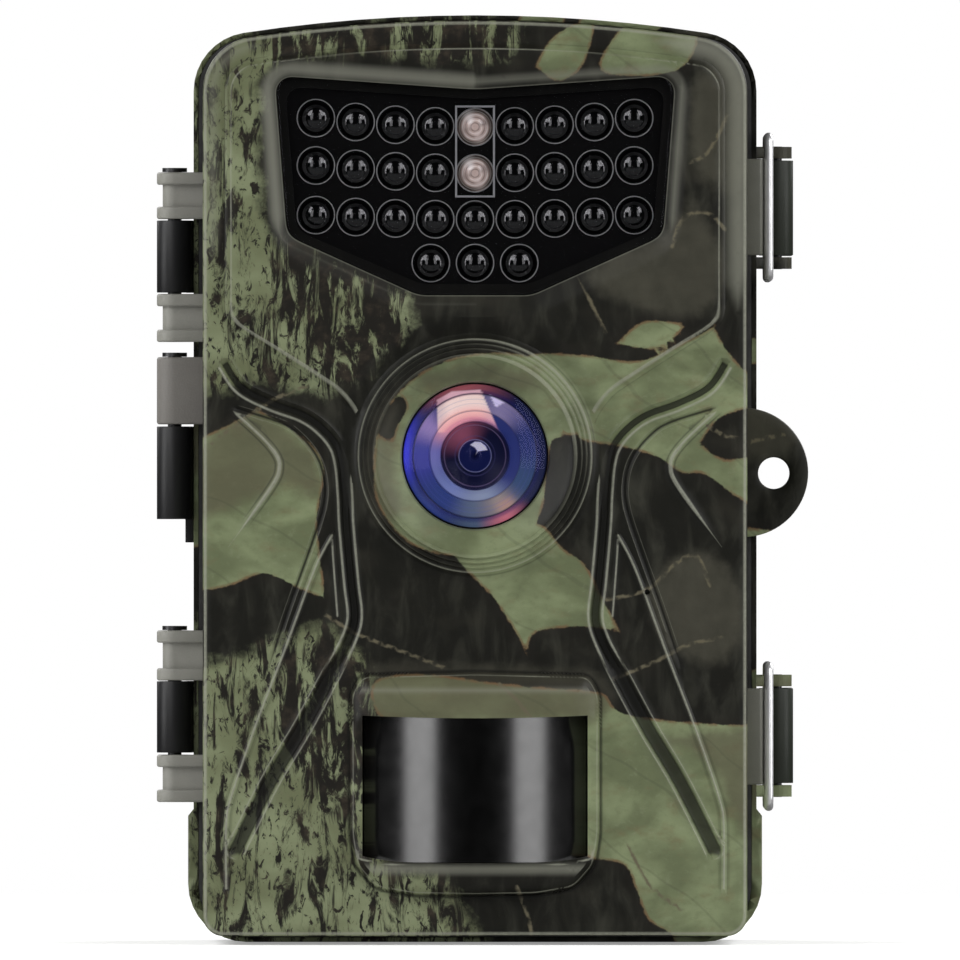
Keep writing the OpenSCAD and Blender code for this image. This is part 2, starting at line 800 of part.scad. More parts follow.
module sd_socket() {
    color(steel)
    difference() {
        block([2, 29], socket_y, [39.6, 70]);
        block([3.3, 27.7], socket_slot_y, [39, 68.6]);
    }
}

module sd_card() {
    color([0.1, 0.15, 0.3])
    slab(-21.05, -18.95)
        polygon([[3.5, 36], [27.5, 36], [27.5, 64], [23.5, 68], [3.5, 68]]);
}

module usb_port() {
    color(steel)
    difference() {
        block([-21.5, -12.5], [-22.4, -19.2], [38.1, 45.5]);
        block([-21.1, -12.9], [-22, -19.6], [37, 44.5]);
    }
}

module power_contact_pins() {
    color([0.85, 0.7, 0.35])
    for (x = contact_x) {
        rod_y(x, contact_z, 0.85, -17.55, -14);
        rod_y(x, contact_z, 0.6, -14.1, -8.6);
    }
}

rear_shell();
door_seal();
battery_tray();
battery_cells();
battery_springs();
battery_contacts();
power_contact_pads();
tree_bracket();
bracket_screws();
tripod_insert();
hinge_barrels();
hinge_pins();
latch_pins();
dc_jack();
dc_plug();
latch_lever_upper();
latch_lever_lower();
wire_bail_upper();
wire_bail_lower();
front_shell();
ir_window();
led_holder();
ir_leds();
light_sensor();
status_led();
sensor_frame();
led_board();
lens_glass();
lens_barrel();
lens_elements();
lens_holder();
ir_cut_filter();
image_sensor();
sensor_board();
pir_lens();
pir_sensor();
pir_holder();
main_board();
board_chips();
microphone();
inner_panel();
panel_screws();
lcd_module();
lcd_window();
keypad_board();
button_ok();
button_up();
button_down();
button_left();
button_right();
button_menu();
mode_switch_body();
mode_switch_knob();
sd_socket();
sd_card();
usb_port();
power_contact_pins();
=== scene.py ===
"""Trail camera: camouflaged shells with moulded relief, glossy optics and steel latches.

Lengths in this script are millimetres, and new_piece() turns them into the frame's metres.
"""
import math

import bmesh
import bpy
import numpy as np
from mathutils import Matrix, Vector
from mathutils.geometry import delaunay_2d_cdt


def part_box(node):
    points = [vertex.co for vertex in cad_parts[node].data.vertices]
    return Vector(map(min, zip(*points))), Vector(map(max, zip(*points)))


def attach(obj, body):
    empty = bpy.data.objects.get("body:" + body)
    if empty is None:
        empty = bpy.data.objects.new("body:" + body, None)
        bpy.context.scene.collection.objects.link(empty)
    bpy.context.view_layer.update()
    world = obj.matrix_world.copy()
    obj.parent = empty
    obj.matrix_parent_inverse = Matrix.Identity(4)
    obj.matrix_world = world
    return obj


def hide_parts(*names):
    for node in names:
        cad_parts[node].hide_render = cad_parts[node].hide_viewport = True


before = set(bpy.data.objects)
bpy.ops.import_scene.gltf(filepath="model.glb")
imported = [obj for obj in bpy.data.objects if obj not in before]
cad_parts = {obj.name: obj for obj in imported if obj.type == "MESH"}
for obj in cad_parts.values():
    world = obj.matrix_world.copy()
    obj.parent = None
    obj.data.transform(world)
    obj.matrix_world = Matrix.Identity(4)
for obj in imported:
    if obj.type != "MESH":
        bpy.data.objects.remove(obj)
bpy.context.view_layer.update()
MM = 0.001


def mm_box(node):
    """Lowest and highest corner of a CAD node, in millimetres."""
    low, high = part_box(node)
    return np.array(low) / MM, np.array(high) / MM


# ---- driving dimensions, from the frame ----------------------------------------------

panel_high = mm_box("inner_panel")[1]
window_low = mm_box("ir_window")[0]
glass_low, glass_high = mm_box("lens_glass")
pir_low, pir_high = mm_box("pir_lens")
rear_low, rear_high = mm_box("rear_shell")
pin_low, pin_high = mm_box("hinge_pins")

HALF_W = panel_high[0] + 2.4           # half width of the front shell
REAR_HALF_W = 41.0                     # half width of the rear shell
FRONT_Z = (1.3, rear_high[2] - 1.2)    # its lowest and highest points
FACE_Y = window_low[1]                 # its flat front face
DOOR_Y = panel_high[1] + 0.6           # its back edge
WALL = 2.2
INNER_Y = FACE_Y + WALL
EDGE_R = 0.9                           # rounding of the front edge
LENS_Z = (glass_low[2] + glass_high[2]) / 2
GLASS_R = (glass_high[0] - glass_low[0]) / 2
BORE_R = GLASS_R + 0.1
PIR_HALF_W = pir_high[0]
HINGE_X = (pin_low[0] + pin_high[0]) / 2
HINGE_Y = (pin_low[1] + pin_high[1]) / 2
PART_Y = HINGE_Y                       # where the rear shell meets the door
FIELD_H = 1.2                          # height of the field around the lamp window


# ---- curves and distances ------------------------------------------------------------

def line(a, b, n):
    """n points from a towards b, without b."""
    a, b = np.array(a, float), np.array(b, float)
    return [tuple(a + (b - a) * i / n) for i in range(n)]


def arc(cx, cy, r, a0, a1, n):
    """n points on an arc in degrees, without the last."""
    angles = [math.radians(a0 + (a1 - a0) * i / n) for i in range(n)]
    return [(cx + r * math.cos(a), cy + r * math.sin(a)) for a in angles]


def circle(cx, cy, r, n):
    return np.array(arc(cx, cy, r, 0, 360, n))


def curve(points, closed=False, steps=6):
    """A smooth curve through a few points."""
    p = np.asarray(points, float)
    n = len(p)
    out = []
    for i in range(n if closed else n - 1):
        if closed:
            a, b, c, d = p[i - 1], p[i], p[(i + 1) % n], p[(i + 2) % n]
        else:
            a, b, c, d = p[max(i - 1, 0)], p[i], p[i + 1], p[min(i + 2, n - 1)]
        for k in range(steps):
            t = k / steps
            out.append(0.5 * (2 * b + (c - a) * t + (2 * a - 5 * b + 4 * c - d) * t * t
                              + (3 * b - a - 3 * c + d) * t ** 3))
    if not closed:
        out.append(p[-1])
    return np.array(out)


def rounded(points, radius, n=6):
    """A closed outline with each corner replaced by a soft curve of n points."""
    p = np.asarray(points, float)
    out = []
    for i in range(len(p)):
        a, b, c = p[i - 1], p[i], p[(i + 1) % len(p)]
        start = b + (a - b) / np.linalg.norm(a - b) * min(radius, np.linalg.norm(a - b) / 2.1)
        end = b + (c - b) / np.linalg.norm(c - b) * min(radius, np.linalg.norm(c - b) / 2.1)
        for k in range(n):
            t = k / (n - 1)
            out.append((1 - t) ** 2 * start + 2 * t * (1 - t) * b + t * t * end)
    return np.array(out)


def subdivided(ring, step, like=None):
    """A closed outline with points added, as many as bring the outline like within step."""
    like = ring if like is None else like
    sizes = np.hypot(*(np.roll(like, -1, 0) - like).T)
    out = []
    for a, b, size in zip(ring, np.roll(ring, -1, 0), sizes):
        out += line(a, b, max(1, math.ceil(size / step)))
    return np.array(out)


def mirrored(right):
    """A closed outline from its right half, listed from the bottom up."""
    right = [tuple(p) for p in right]
    return np.array(right + [(-x, z) for x, z in reversed(right) if x > 0.01])


def case_outline(half_w, z0, z1, low_r, high_r, crown):
    """Case seen from the front, anticlockwise, always with the same number of points."""
    cx = half_w - high_r
    mid = z1 - crown
    cz = mid + math.sqrt((crown - high_r) ** 2 - cx * cx)
    a = math.degrees(math.atan2(cz - mid, cx))
    right = line((0, z0), (half_w - low_r, z0), 36)
    right += arc(half_w - low_r, z0 + low_r, low_r, -90, 0, 12)
    right += line((half_w, z0 + low_r), (half_w, cz), 110)
    right += arc(cx, cz, high_r, 0, a, 14)
    right += arc(0, mid, crown, a, 90, 34)
    left = [(-x, z) for x, z in reversed(right[1:])]
    return np.array(right + [(0, z1)] + left)


def front_outline(d):
    return case_outline(HALF_W - d, FRONT_Z[0] + d, FRONT_Z[1] - d, max(3 - d, 0.6), 8 - d, 223 - d)


def shield(d):
    """Lamp window's outline, drawn in by d, with its corners rounded."""
    mid = 110.5
    right = [(8.2, 94), (26.3, 102.2), (27.3, 103.5), (28.9, 124.2), (27.4, 125.7), (0, 123.8)]
    drawn = [(x * (1 - d / 28.8), mid + (z - mid) * (1 - d / 15)) for x, z in right]
    return subdivided(rounded(mirrored(drawn), 1.3), 1.0, rounded(mirrored(right), 1.3))


def pir_opening(d):
    """Opening of the motion sensor, drawn in by d: its long edges bow down a little."""
    half_w = PIR_HALF_W + 0.2 - d
    ends = np.linspace(-half_w, half_w, 33)
    low = [(x, pir_low[2] - 0.1 + d + 1.0 * (x / half_w) ** 4) for x in ends]
    high = [(x, pir_high[2] - 0.25 - d + 0.4 * (x / half_w) ** 2) for x in ends]
    side = list(zip([half_w] * 16, np.linspace(low[-1][1], high[-1][1], 18)[1:-1]))
    return np.array(low + side + high[::-1] + [(-x, z) for x, z in side[::-1]])


def distance_to(points, path, closed=False):
    """Distance from each point to a path of straight segments."""
    a = np.asarray(path, float)
    b = np.roll(a, -1, 0) if closed else a[1:]
    best = np.full(len(points), 1e9)
    for p, q in zip(a, b):
        d = q - p
        t = np.clip((points - p) @ d / max(d @ d, 1e-12), 0, 1)
        best = np.minimum(best, np.hypot(*(points - p - t[:, None] * d).T))
    return best


def is_inside(points, ring):
    x, z = points.T
    odd = np.zeros(len(points), bool)
    for (x0, z0), (x1, z1) in zip(ring, np.roll(ring, -1, 0)):
        if z0 != z1:
            odd ^= ((z0 > z) != (z1 > z)) & (x < (x1 - x0) * (z - z0) / (z1 - z0) + x0)
    return odd


def depth_inside(points, ring):
    """Distance to a closed outline, positive inside it."""
    d = distance_to(points, ring, True)
    return np.where(is_inside(points, ring), d, -d)


def ease(t):
    t = np.clip(t, 0, 1)
    return t * t * (3 - 2 * t)


def roll(t):
    """Quarter-round rise from 0 to 1."""
    return np.sqrt(1 - (1 - np.clip(t, 0, 1)) ** 2)


# ---- camouflage print ----------------------------------------------------------------
# Leaves, bark and twigs of a generic woodland print, in the plane of the front face.
# A point given twice is a sharp tip.

BARK = [
    [(-48, 142), (5, 142), (7, 134), (2, 128), (-27, 128), (-31, 118), (-30, 104), (-24, 100),
     (-12, 95), (-9, 91), (-13, 85), (-19, 80.5), (-26, 80), (-31, 81.5), (-39, 79.5), (-48, 79)],
    [(-48, 43), (-38, 41), (-29, 44), (-22, 46), (-17, 43), (-14, 36), (-13, 26), (-13, 12),
     (-5, 10), (-1, 4), (2, -9), (-48, -9)],
]
LEAVES = [
    [(-48, 71), (-39.4, 73.5), (-31.6, 77.4), (-31.6, 77.4), (-26.3, 74.5), (-22, 69.7),
     (-22.9, 62), (-22.4, 55.7), (-21.7, 50.2), (-21.7, 50.2), (-25.8, 51.8), (-30.6, 53.8),
     (-35.5, 52.1), (-40, 51.4), (-48, 52)],
    [(-3, 57), (0.3, 52.8), (2.6, 50.4), (5.5, 46), (7.5, 42.4), (7.5, 42.4), (8.4, 45.1),
     (12.3, 46), (17.1, 46), (20.8, 45.4), (20.8, 45.4), (19.1, 48.9), (15.7, 55.2), (12.8, 57.2),
     (9, 61), (2, 61)],
    [(-14.6, 69), (-13.2, 77), (-7, 83.2), (1, 85.6), (9, 84.6), (11, 79.5), (13.2, 75),
     (13.2, 75), (10.6, 70), (9.6, 63), (6, 57.2), (-2, 56.3), (-9, 58), (-13.6, 63)],
    [(7, 84.6), (15.7, 85.3), (23.4, 84.4), (30.1, 87.1), (34.5, 89.4), (34.5, 89.4), (36.5, 86),
     (40, 82.6), (50, 79), (50, 60), (39, 64.3), (33, 68.3), (30.1, 68.3), (26.3, 70.7),
     (21.5, 72.1), (15.7, 73.1), (12, 75)],
    [(8.8, 127.2), (8.8, 127.2), (11.5, 131.5), (17, 134), (15.6, 127.5), (12, 125)],
    [(18, 127), (21.5, 133), (26, 135), (32, 132.5), (30, 127), (23, 125.8)],
    [(20.5, 87), (20.5, 87), (24.5, 90.2), (30.5, 89.8), (30.5, 89.8), (26.5, 86.4)],
    [(-13.5, 33), (-14.5, 38), (-8, 39.2), (2, 38), (10, 37.2), (18, 36.5), (20.5, 34),
     (26.3, 32.6), (38.8, 31.8), (50, 32), (50, -9), (35, -9), (29.2, 0.7), (25.3, 3.6),
     (23.4, 8), (21.5, 11.8), (15.7, 13.3), (14, 20), (14, 30), (-6, 31)],
]
BURNT = [
    [(-48, 142), (5, 142), (7, 134), (2, 126), (-27, 127.5), (-36, 130), (-39, 126), (-48, 126)],
    [(-27, 106), (-20, 103), (-12, 98), (-8, 92), (-13, 84), (-22, 82), (-28, 92)],
    [(-24, 44), (-17, 41), (-15, 30), (-19, 18), (-26, 26), (-28, 38)],
]
SHADES = [
    [(-50, 60), (-39, 73), (-31.6, 77), (-26, 74), (-22.5, 69), (-23, 64.5), (-28, 66.5), (-34, 63.5)],
    [(20, 100), (26, 102), (31, 107.5), (31, 107.5), (35.5, 101), (36, 94), (30, 90.5), (24, 92),
     (16, 96)],
    [(25, 52), (33, 57), (39, 50), (36, 41), (28, 43)],
    [(27, 29.5), (33, 27), (39.4, 16), (50, 12), (50, 30), (38, 31.4)],
    [(31, 123), (36, 128), (42, 118), (38, 109), (32, 112)],
    [(-18, 40), (0, 40.5), (18, 39), (18, 33), (0, 32), (-18, 32)],
    [(-15, 62), (-15.5, 72), (-13, 79), (-10.5, 78), (-11.5, 70), (-10.5, 62)],
    [(-8, 82), (0, 84), (8, 83), (10, 80), (0, 81), (-8, 80)],
]
HOLLOWS = [
    [(10.2, 63), (11.4, 60), (14.5, 63), (16, 70), (14.8, 74), (14.8, 74), (12.5, 73.5), (10.8, 72)],
    [(-14, 74), (-13.2, 77), (-11, 79.4), (-9.8, 78), (-11.3, 75), (-12, 73)],
    [(32.5, 72.5), (32.5, 72.5), (35, 76), (40, 77.8), (50, 78), (50, 70), (40, 70.6), (36, 70.2)],
    [(-37, 128), (-31, 132), (-29, 128), (-31, 121), (-35, 120)],
]
TWIGS = [
    [(-21.7, 47.8), (-17, 45), (-10, 42.3), (-4.6, 40.2)],
    [(-39.4, 71.5), (-35, 75), (-29, 79), (-24, 81)],
    [(28.5, 101), (30, 105), (33.5, 106), (36.2, 103.5)],
    [(15, 97), (17, 92.5), (18.9, 88.5)],
    [(19, 50), (25, 51.5), (29, 55.2), (32, 56.4), (34, 52)],
    [(20, 38.5), (26, 41), (31, 43.5), (36, 44.5)],
    [(33.5, 75.2), (36.5, 73.6), (40.5, 73)],
    [(29.5, 113), (33.5, 114.5), (37, 121)],
    [(3.5, 37.8), (6, 35.5), (8, 33)],
    [(6, 8.5), (7.4, 5), (8.6, 0)],
    [(22, 15), (25, 9), (30, 5)],
]
PRINT_EDGE = 44  # beyond this distance from the middle the print repeats, mirrored
FAR = 9.0        # stored where no ridge, groove or bevel is near


def nearest(points, shapes):
    """Depth inside the nearest of several smooth closed shapes."""
    return np.max([depth_inside(points, curve(s, True, 5)) for s in shapes], axis=0)


def paint(obj, where):
    """Stores how deep each vertex lies in the print's bark, leaves and shades."""
    u, v = np.asarray(where, float).T
    u = np.where(u > PRINT_EDGE, 2 * PRINT_EDGE - u, u)
    u = np.where(u < -PRINT_EDGE, -2 * PRINT_EDGE - u, u)
    spot = np.stack([u, v], axis=1)
    hollow = nearest(spot, HOLLOWS)
    values = {
        "bark": nearest(spot, BARK),
        "leaf": np.minimum(nearest(spot, LEAVES), -hollow),
        "shade": nearest(spot, SHADES),
        "burnt": ease(nearest(spot, BURNT) / 4 + 0.5),
        "twig": np.min([distance_to(spot, curve(t)) for t in TWIGS], axis=0),
    }
    for name, numbers in values.items():
        store_number(obj, name, np.clip(numbers, -20, 20))
    for name in ("lip", "gap", "haze"):
        store_number(obj, name, np.full(len(u), FAR))
    layer = obj.data.attributes.new("print", "FLOAT_VECTOR", "POINT")
    flat = np.pad(np.asarray(where, np.float32), ((0, 0), (0, 1)))
    layer.data.foreach_set("vector", flat.ravel())


def store_number(obj, name, numbers):
    layer = obj.data.attributes.get(name) or obj.data.attributes.new(name, "FLOAT", "POINT")
    layer.data.foreach_set("value", np.asarray(numbers, np.float32))


def spread(points, y0, shift=(0, 0), share=0.6):
    """Print coordinates that run out over the sides as a point goes back from y0."""
    p = np.asarray(points, float)
    grow = 1 + share * (p[:, 1] - y0) / HALF_W
    mid = (FRONT_Z[0] + FRONT_Z[1]) / 2
    u = p[:, 0] * grow + shift[0]
    v = (p[:, 2] - mid) * (1 + share * (p[:, 1] - y0) / mid) + mid + shift[1]
    return np.stack([u, v], axis=1)


# ---- materials -----------------------------------------------------------------------

class Shader:
    """A material whose nodes are added one by one."""

    def __init__(self, name):
        self.material = bpy.data.materials.new(name)
        self.material.use_nodes = True
        self.tree = self.material.node_tree
        self.tree.nodes.clear()
        self.output = self.tree.nodes.new("ShaderNodeOutputMaterial")

    def put(self, socket, value):
        if isinstance(value, bpy.types.NodeSocket):
            self.tree.links.new(value, socket)
        elif value is not None:
            if socket.type == "RGBA" and len(value) == 3:
                value = (*value, 1)
            socket.default_value = value

    def node(self, kind, sockets=None, **settings):
        made = self.tree.nodes.new("ShaderNode" + kind)
        for name, value in settings.items():
            setattr(made, name, value)
        for name, value in (sockets or {}).items():
            self.put(made.inputs[name], value)
        return made

    def attribute(self, name, output="Fac"):
        return self.node("Attribute", attribute_name=name).outputs[output]

    def math(self, operation, a, b=None, c=None):
        made = self.node("Math", operation=operation)
        for socket, value in zip(made.inputs, (a, b, c)):
            self.put(socket, value)
        return made.outputs[0]

    def part(self, value, share):
        return self.math("MULTIPLY", value, share)

    def about(self, value, spread, middle):
        """A value from 0 to 1 made to run half of spread below and above middle."""
        return self.math("MULTIPLY_ADD", value, spread, middle - spread / 2)

    def stretch(self, vector, factors):
        made = self.node("VectorMath", operation="MULTIPLY")
        self.put(made.inputs[0], vector)
        self.put(made.inputs[1], factors)
        return made.outputs[0]

    def noise(self, vector, scale, detail=3.0, roughness=0.55, distortion=0.0):
        """Noise at one scale, or stretched to a scale for each of the first two axes."""
        if isinstance(scale, tuple):
            vector, scale = self.stretch(vector, (*scale, 1)), 1.0
        sockets = {"Vector": vector, "Scale": scale, "Detail": detail,
                   "Roughness": roughness, "Distortion": distortion}
        return self.node("TexNoise", sockets).outputs["Fac"]

    def step(self, value, low, high):
        """0 below low, 1 above high, smooth between."""
        sockets = {"Value": value, "From Min": low, "From Max": high}
        return self.node("MapRange", sockets, interpolation_type="SMOOTHSTEP").outputs["Result"]

    def mix(self, factor, a, b):
        made = self.node("Mix", data_type="RGBA")
        self.put(made.inputs[0], factor)
        self.put(made.inputs[6], a)
        self.put(made.inputs[7], b)
        return made.outputs[2]

    def bump(self, height, distance, strength):
        sockets = {"Height": height, "Distance": distance * MM, "Strength": strength}
        return self.node("Bump", sockets).outputs["Normal"]

    def surface(self, **sockets):
        """Ends the material in one principled surface."""
        named = {k.replace("_", " "): v for k, v in sockets.items()}
        made = self.node("BsdfPrincipled", named)
        self.put(self.output.inputs["Surface"], made.outputs[0])
        return self.material

    def position(self):
        """Place on the object in millimetres."""
        place = self.node("TexCoord").outputs["Object"]
        return self.stretch(place, (1000, 1000, 1000))


def forest_floor(s, place, cloud, fine):
    """Near-black ground with faint upright smears."""
    smear = s.noise(place, (0.30, 0.10), 4, 0.55, 0.6)
    dark = s.mix(s.step(smear, 0.42, 0.82), (0.007, 0.007, 0.005), (0.028, 0.028, 0.021))
    dark = s.mix(s.part(s.step(cloud, 0.5, 0.75), 0.35), dark, (0.036, 0.033, 0.024))
    return s.mix(s.part(s.step(fine, 0.6, 0.85), 0.15), dark, (0.05, 0.042, 0.03))


def bark_skin(s, place, cloud, fine, wobble):
    """Green bark split by black upright cracks, with brown specks along them."""
    skin = s.mix(s.step(cloud, 0.35, 0.65), (0.098, 0.110, 0.058), (0.160, 0.182, 0.104))
    skin = s.mix(s.part(s.step(fine, 0.5, 0.8), 0.35), skin, (0.120, 0.105, 0.066))
    crack = s.noise(place, (0.40, 0.10), 6, 0.7, 0.9)
    speck = s.noise(place, (0.9, 0.48), 4, 0.65, 0.8)
    crack = s.math("MULTIPLY_ADD", s.attribute("burnt"), 0.10, crack)
    cracks = s.math("MAXIMUM", s.step(crack, 0.49, 0.59), s.step(speck, 0.54, 0.63))
    black = s.mix(s.step(wobble, 0.45, 0.75), (0.010, 0.009, 0.007), (0.032, 0.025, 0.017))
    return s.mix(cracks, skin, black)


def leaf_skin(s, place, cloud, in_shade):
    """Smooth green leaf with olive clouds and a few thin dark veins."""
    tone = s.noise(place, (0.10, 0.14), 3, 0.5, 0.4)
    leaf = s.mix(s.step(tone, 0.34, 0.68), (0.092, 0.108, 0.056), (0.158, 0.186, 0.100))
    rust = s.noise(s.stretch(place, (0.15, 0.26, 1)), 1.3, 4, 0.6)
    leaf = s.mix(s.part(s.step(rust, 0.52, 0.75), 0.5), leaf, (0.112, 0.086, 0.044))
    mottle = s.noise(place, (0.55, 0.7), 5, 0.7)
    leaf = s.mix(s.part(s.step(mottle, 0.48, 0.72), 0.34), leaf, (0.070, 0.080, 0.042))
    leaf = s.mix(s.part(s.step(mottle, 0.46, 0.30), 0.25), leaf, (0.185, 0.205, 0.128))
    shaded = s.mix(cloud, (0.052, 0.050, 0.030), (0.086, 0.078, 0.048))
    leaf = s.mix(s.part(in_shade, 0.72), leaf, shaded)
    vein = s.node("TexWave", {"Vector": s.stretch(place, (0.035, 0.05, 1)), "Scale": 1.1,
                              "Distortion": 4.0, "Detail": 2.0, "Detail Scale": 1.0},
                  bands_direction="DIAGONAL").outputs["Fac"]
    return s.mix(s.part(s.step(vein, 0.992, 1.0), 0.22), leaf, (0.040, 0.042, 0.026))


def camouflage(name, gloss=0.42):
    """Woodland print under a satin clear coat, with painted highlights on ridges, painted shade in grooves
    and a painted sheen on bevels.
    """
    s = Shader(name)
    place = s.attribute("print", "Vector")
    wobble = s.noise(place, (0.35, 0.35), 4, 0.62)
    fine = s.noise(place, (1.6, 1.6), 3, 0.6)
    cloud = s.noise(place, (0.07, 0.10), 3, 0.5)
    ragged = s.about(wobble, 2.6, 0)
    nibble = s.about(fine, 0.36, 0)

    in_shade = s.step(s.math("ADD", s.attribute("shade"), ragged), -1.2, 1.6)
    dark = forest_floor(s, place, cloud, fine)
    dusk = s.mix(wobble, (0.030, 0.030, 0.022), (0.062, 0.058, 0.042))
    dark = s.mix(s.part(in_shade, 0.7), dark, dusk)
    in_bark = s.step(s.math("ADD", s.attribute("bark"), s.part(ragged, 2.2)), -1.2, 1.6)
    ground = s.mix(in_bark, dark, bark_skin(s, place, cloud, fine, wobble))

    edge = s.math("ADD", s.attribute("leaf"), s.math("ADD", s.part(ragged, 0.22), nibble))
    ground = s.mix(s.part(s.step(edge, -2.2, -0.1), 0.5), ground, (0.010, 0.009, 0.007))
    colour = s.mix(s.step(edge, -0.12, 0.12), ground, leaf_skin(s, place, cloud, in_shade))
    rim = s.math("SUBTRACT", 1.0, s.step(s.math("ABSOLUTE", s.math("SUBTRACT", edge, 0.1)), 0.03, 0.34))
    rim = s.math("MULTIPLY", rim, s.step(wobble, 0.36, 0.62))
    colour = s.mix(s.part(rim, 0.8), colour, (0.110, 0.062, 0.030))

    twig = s.math("ADD", s.attribute("twig"), nibble)
    on_twig = s.math("SUBTRACT", 1.0, s.step(twig, 0.08, 0.42))
    colour = s.mix(s.math("MULTIPLY", on_twig, s.step(wobble, 0.20, 0.46)), colour, (0.088, 0.078, 0.050))

    # painted highlights along the ridges and painted shade in the grooves, from their distance in millimetres
    painted_ridge_highlight = s.math("SUBTRACT", 1.0, s.step(s.attribute("lip"), 0.06, 0.30))
    painted_ridge_highlight = s.math("MULTIPLY", painted_ridge_highlight, s.math("MULTIPLY_ADD", fine, 0.5, 0.35))
    colour = s.mix(painted_ridge_highlight, colour, (0.240, 0.245, 0.195))
    # painted shade in the grooves; the same near-black colours the unprinted inside of the shells
    groove_shade_and_bare_inside = s.math("SUBTRACT", 1.0, s.step(s.attribute("gap"), 0.04, 0.46))
    colour = s.mix(s.part(groove_shade_and_bare_inside, 0.8), colour, (0.006, 0.006, 0.005))
    # painted highlight: a pale sheen on the bevels of the front edge and lamp window, and on the hood's top
    # and lower lip
    haze = s.math("SUBTRACT", 1.0, s.step(s.attribute("haze"), 0.0, 1.5))
    colour = s.mix(s.part(haze, 0.58), colour, (0.190, 0.192, 0.155))

    grain = s.noise(s.position(), 6.0, 2, 0.5)
    rough = s.about(wobble, 0.16, gloss)
    normal = s.bump(s.math("ADD", grain, s.part(fine, 0.5)), 0.014, 0.6)
    return s.surface(Base_Color=colour, Roughness=rough, Normal=normal, Specular_IOR_Level=0.16)


def moulded(name, dark, light, rough=0.5, grain=0.03, size=5.0, specular=0.5):
    """Moulded plastic: mottled colour, paler flecks and fine grain."""
    s = Shader(name)
    place = s.position()
    cloud = s.noise(place, 0.22, 4, 0.6)
    fine = s.noise(place, size, 2, 0.5)
    colour = s.mix(cloud, dark, light)
    colour = s.mix(s.part(fine, 0.25), colour, tuple(c * 1.5 for c in light))
    roughness = s.about(fine, 0.2, rough)
    normal = s.bump(fine, grain, 0.7)
    return s.surface(Base_Color=colour, Roughness=roughness, Normal=normal, Specular_IOR_Level=specular)


def rubber(name, dark, light, rough=0.62):
    s = Shader(name)
    place = s.position()
    dust = s.noise(place, 0.6, 5, 0.7)
    pores = s.noise(place, 7, 2, 0.5)
    colour = s.mix(s.step(dust, 0.35, 0.75), dark, light)
    normal = s.bump(pores, 0.02, 0.6)
    return s.surface(Base_Color=colour, Roughness=s.about(dust, 0.2, rough),
                     Normal=normal, Sheen_Weight=0.15, Sheen_Roughness=0.5)


def metal(name, dark, light, rough=0.22, drawn=(0.5, 0.5, 6), share=1.0):
    """Plated or drawn metal with fine scratches along one axis."""
    s = Shader(name)
    place = s.position()
    lines = s.noise(s.stretch(place, drawn), 1.6, 3, 0.6)
    cloud = s.noise(place, 0.4, 3, 0.5)
    colour = s.mix(cloud, dark, light)
    roughness = s.math("MULTIPLY_ADD", lines, 0.2, rough - 0.08)
    normal = s.bump(lines, 0.006, 0.5)
    return s.surface(Base_Color=colour, Metallic=share, Roughness=roughness, Normal=normal)


def circuit_board(name):
    """Green solder mask over faint square-cornered tracks and tinned spots."""
    s = Shader(name)
    place = s.position()
    bricks = s.node("TexBrick", {"Vector": place, "Scale": 0.55, "Mortar Size": 0.035,
                                 "Color1": (0.010, 0.060, 0.025, 1), "Color2": (0.013, 0.075, 0.032, 1),
                                 "Mortar": (0.022, 0.125, 0.055, 1)})
    cells = s.node("TexVoronoi", {"Vector": place, "Scale": 0.5, "Randomness": 0.75})
    dots = s.math("LESS_THAN", cells.outputs["Distance"], 0.13)
    colour = s.mix(dots, bricks.outputs["Color"], (0.55, 0.52, 0.44))
    rough = s.math("MULTIPLY_ADD", s.noise(place, 3, 2), 0.2, 0.25)
    return s.surface(Base_Color=colour, Roughness=rough, Normal=s.bump(bricks.outputs["Fac"], -0.02, 0.6))


def see_through(name, tint, share, gloss_colour, rough=0.03, ior=1.45, inner=(0.02, 0.02, 0.022)):
    """Thin tinted glass: part clear, part glossy by angle."""
    s = Shader(name)
    place = s.position()
    dust = s.noise(place, 1.2, 5, 0.7)
    clear = s.node("BsdfTransparent", {"Color": (*tint, 1)}).outputs[0]
    gloss = s.node("BsdfGlossy", {"Color": gloss_colour,
                                  "Roughness": s.math("MULTIPLY_ADD", dust, 0.05, rough)}).outputs[0]
    body = s.node("BsdfDiffuse", {"Color": s.mix(dust, tuple(c * 0.8 for c in inner), inner)})
    solid = s.node("MixShader", {0: share, 1: clear, 2: body.outputs[0]}).outputs[0]
    facing = s.node("LayerWeight", {"Blend": 0.5}).outputs["Facing"]
    least = ((ior - 1) / (ior + 1)) ** 2
    mirror = s.math("MULTIPLY_ADD", s.math("POWER", facing, 5.0), 1 - least, least)
    both = s.node("MixShader", {0: mirror, 1: solid, 2: gloss}).outputs[0]
    s.put(s.output.inputs["Surface"], both)
    return s.material


def glossy_black(name, colour, rough, coat=0.0, specular=0.5, ior=1.5):
    s = Shader(name)
    place = s.position()
    haze = s.noise(place, 0.5, 4, 0.6)
    tone = s.mix(haze, colour, tuple(c * 2.2 for c in colour))
    return s.surface(Base_Color=tone, Roughness=s.about(haze, 0.08, rough),
                     Coat_Weight=coat, Coat_Roughness=0.05, Specular_IOR_Level=specular, IOR=ior)


def tinted(name, rough=0.25, coat=0.6, specular=0.5, glow=0.0):
    """Colour stored on the mesh. The lens rings and the clear lamps also give it off as a faint painted glow.
    """
    s = Shader(name)
    colour = s.attribute("tint", "Color")
    fine = s.noise(s.position(), 4, 3, 0.5)
    return s.surface(Base_Color=colour, Roughness=s.about(fine, 0.1, rough),
                     Coat_Weight=coat, Coat_Roughness=0.04, Specular_IOR_Level=specular,
                     Emission_Color=colour, Emission_Strength=glow)


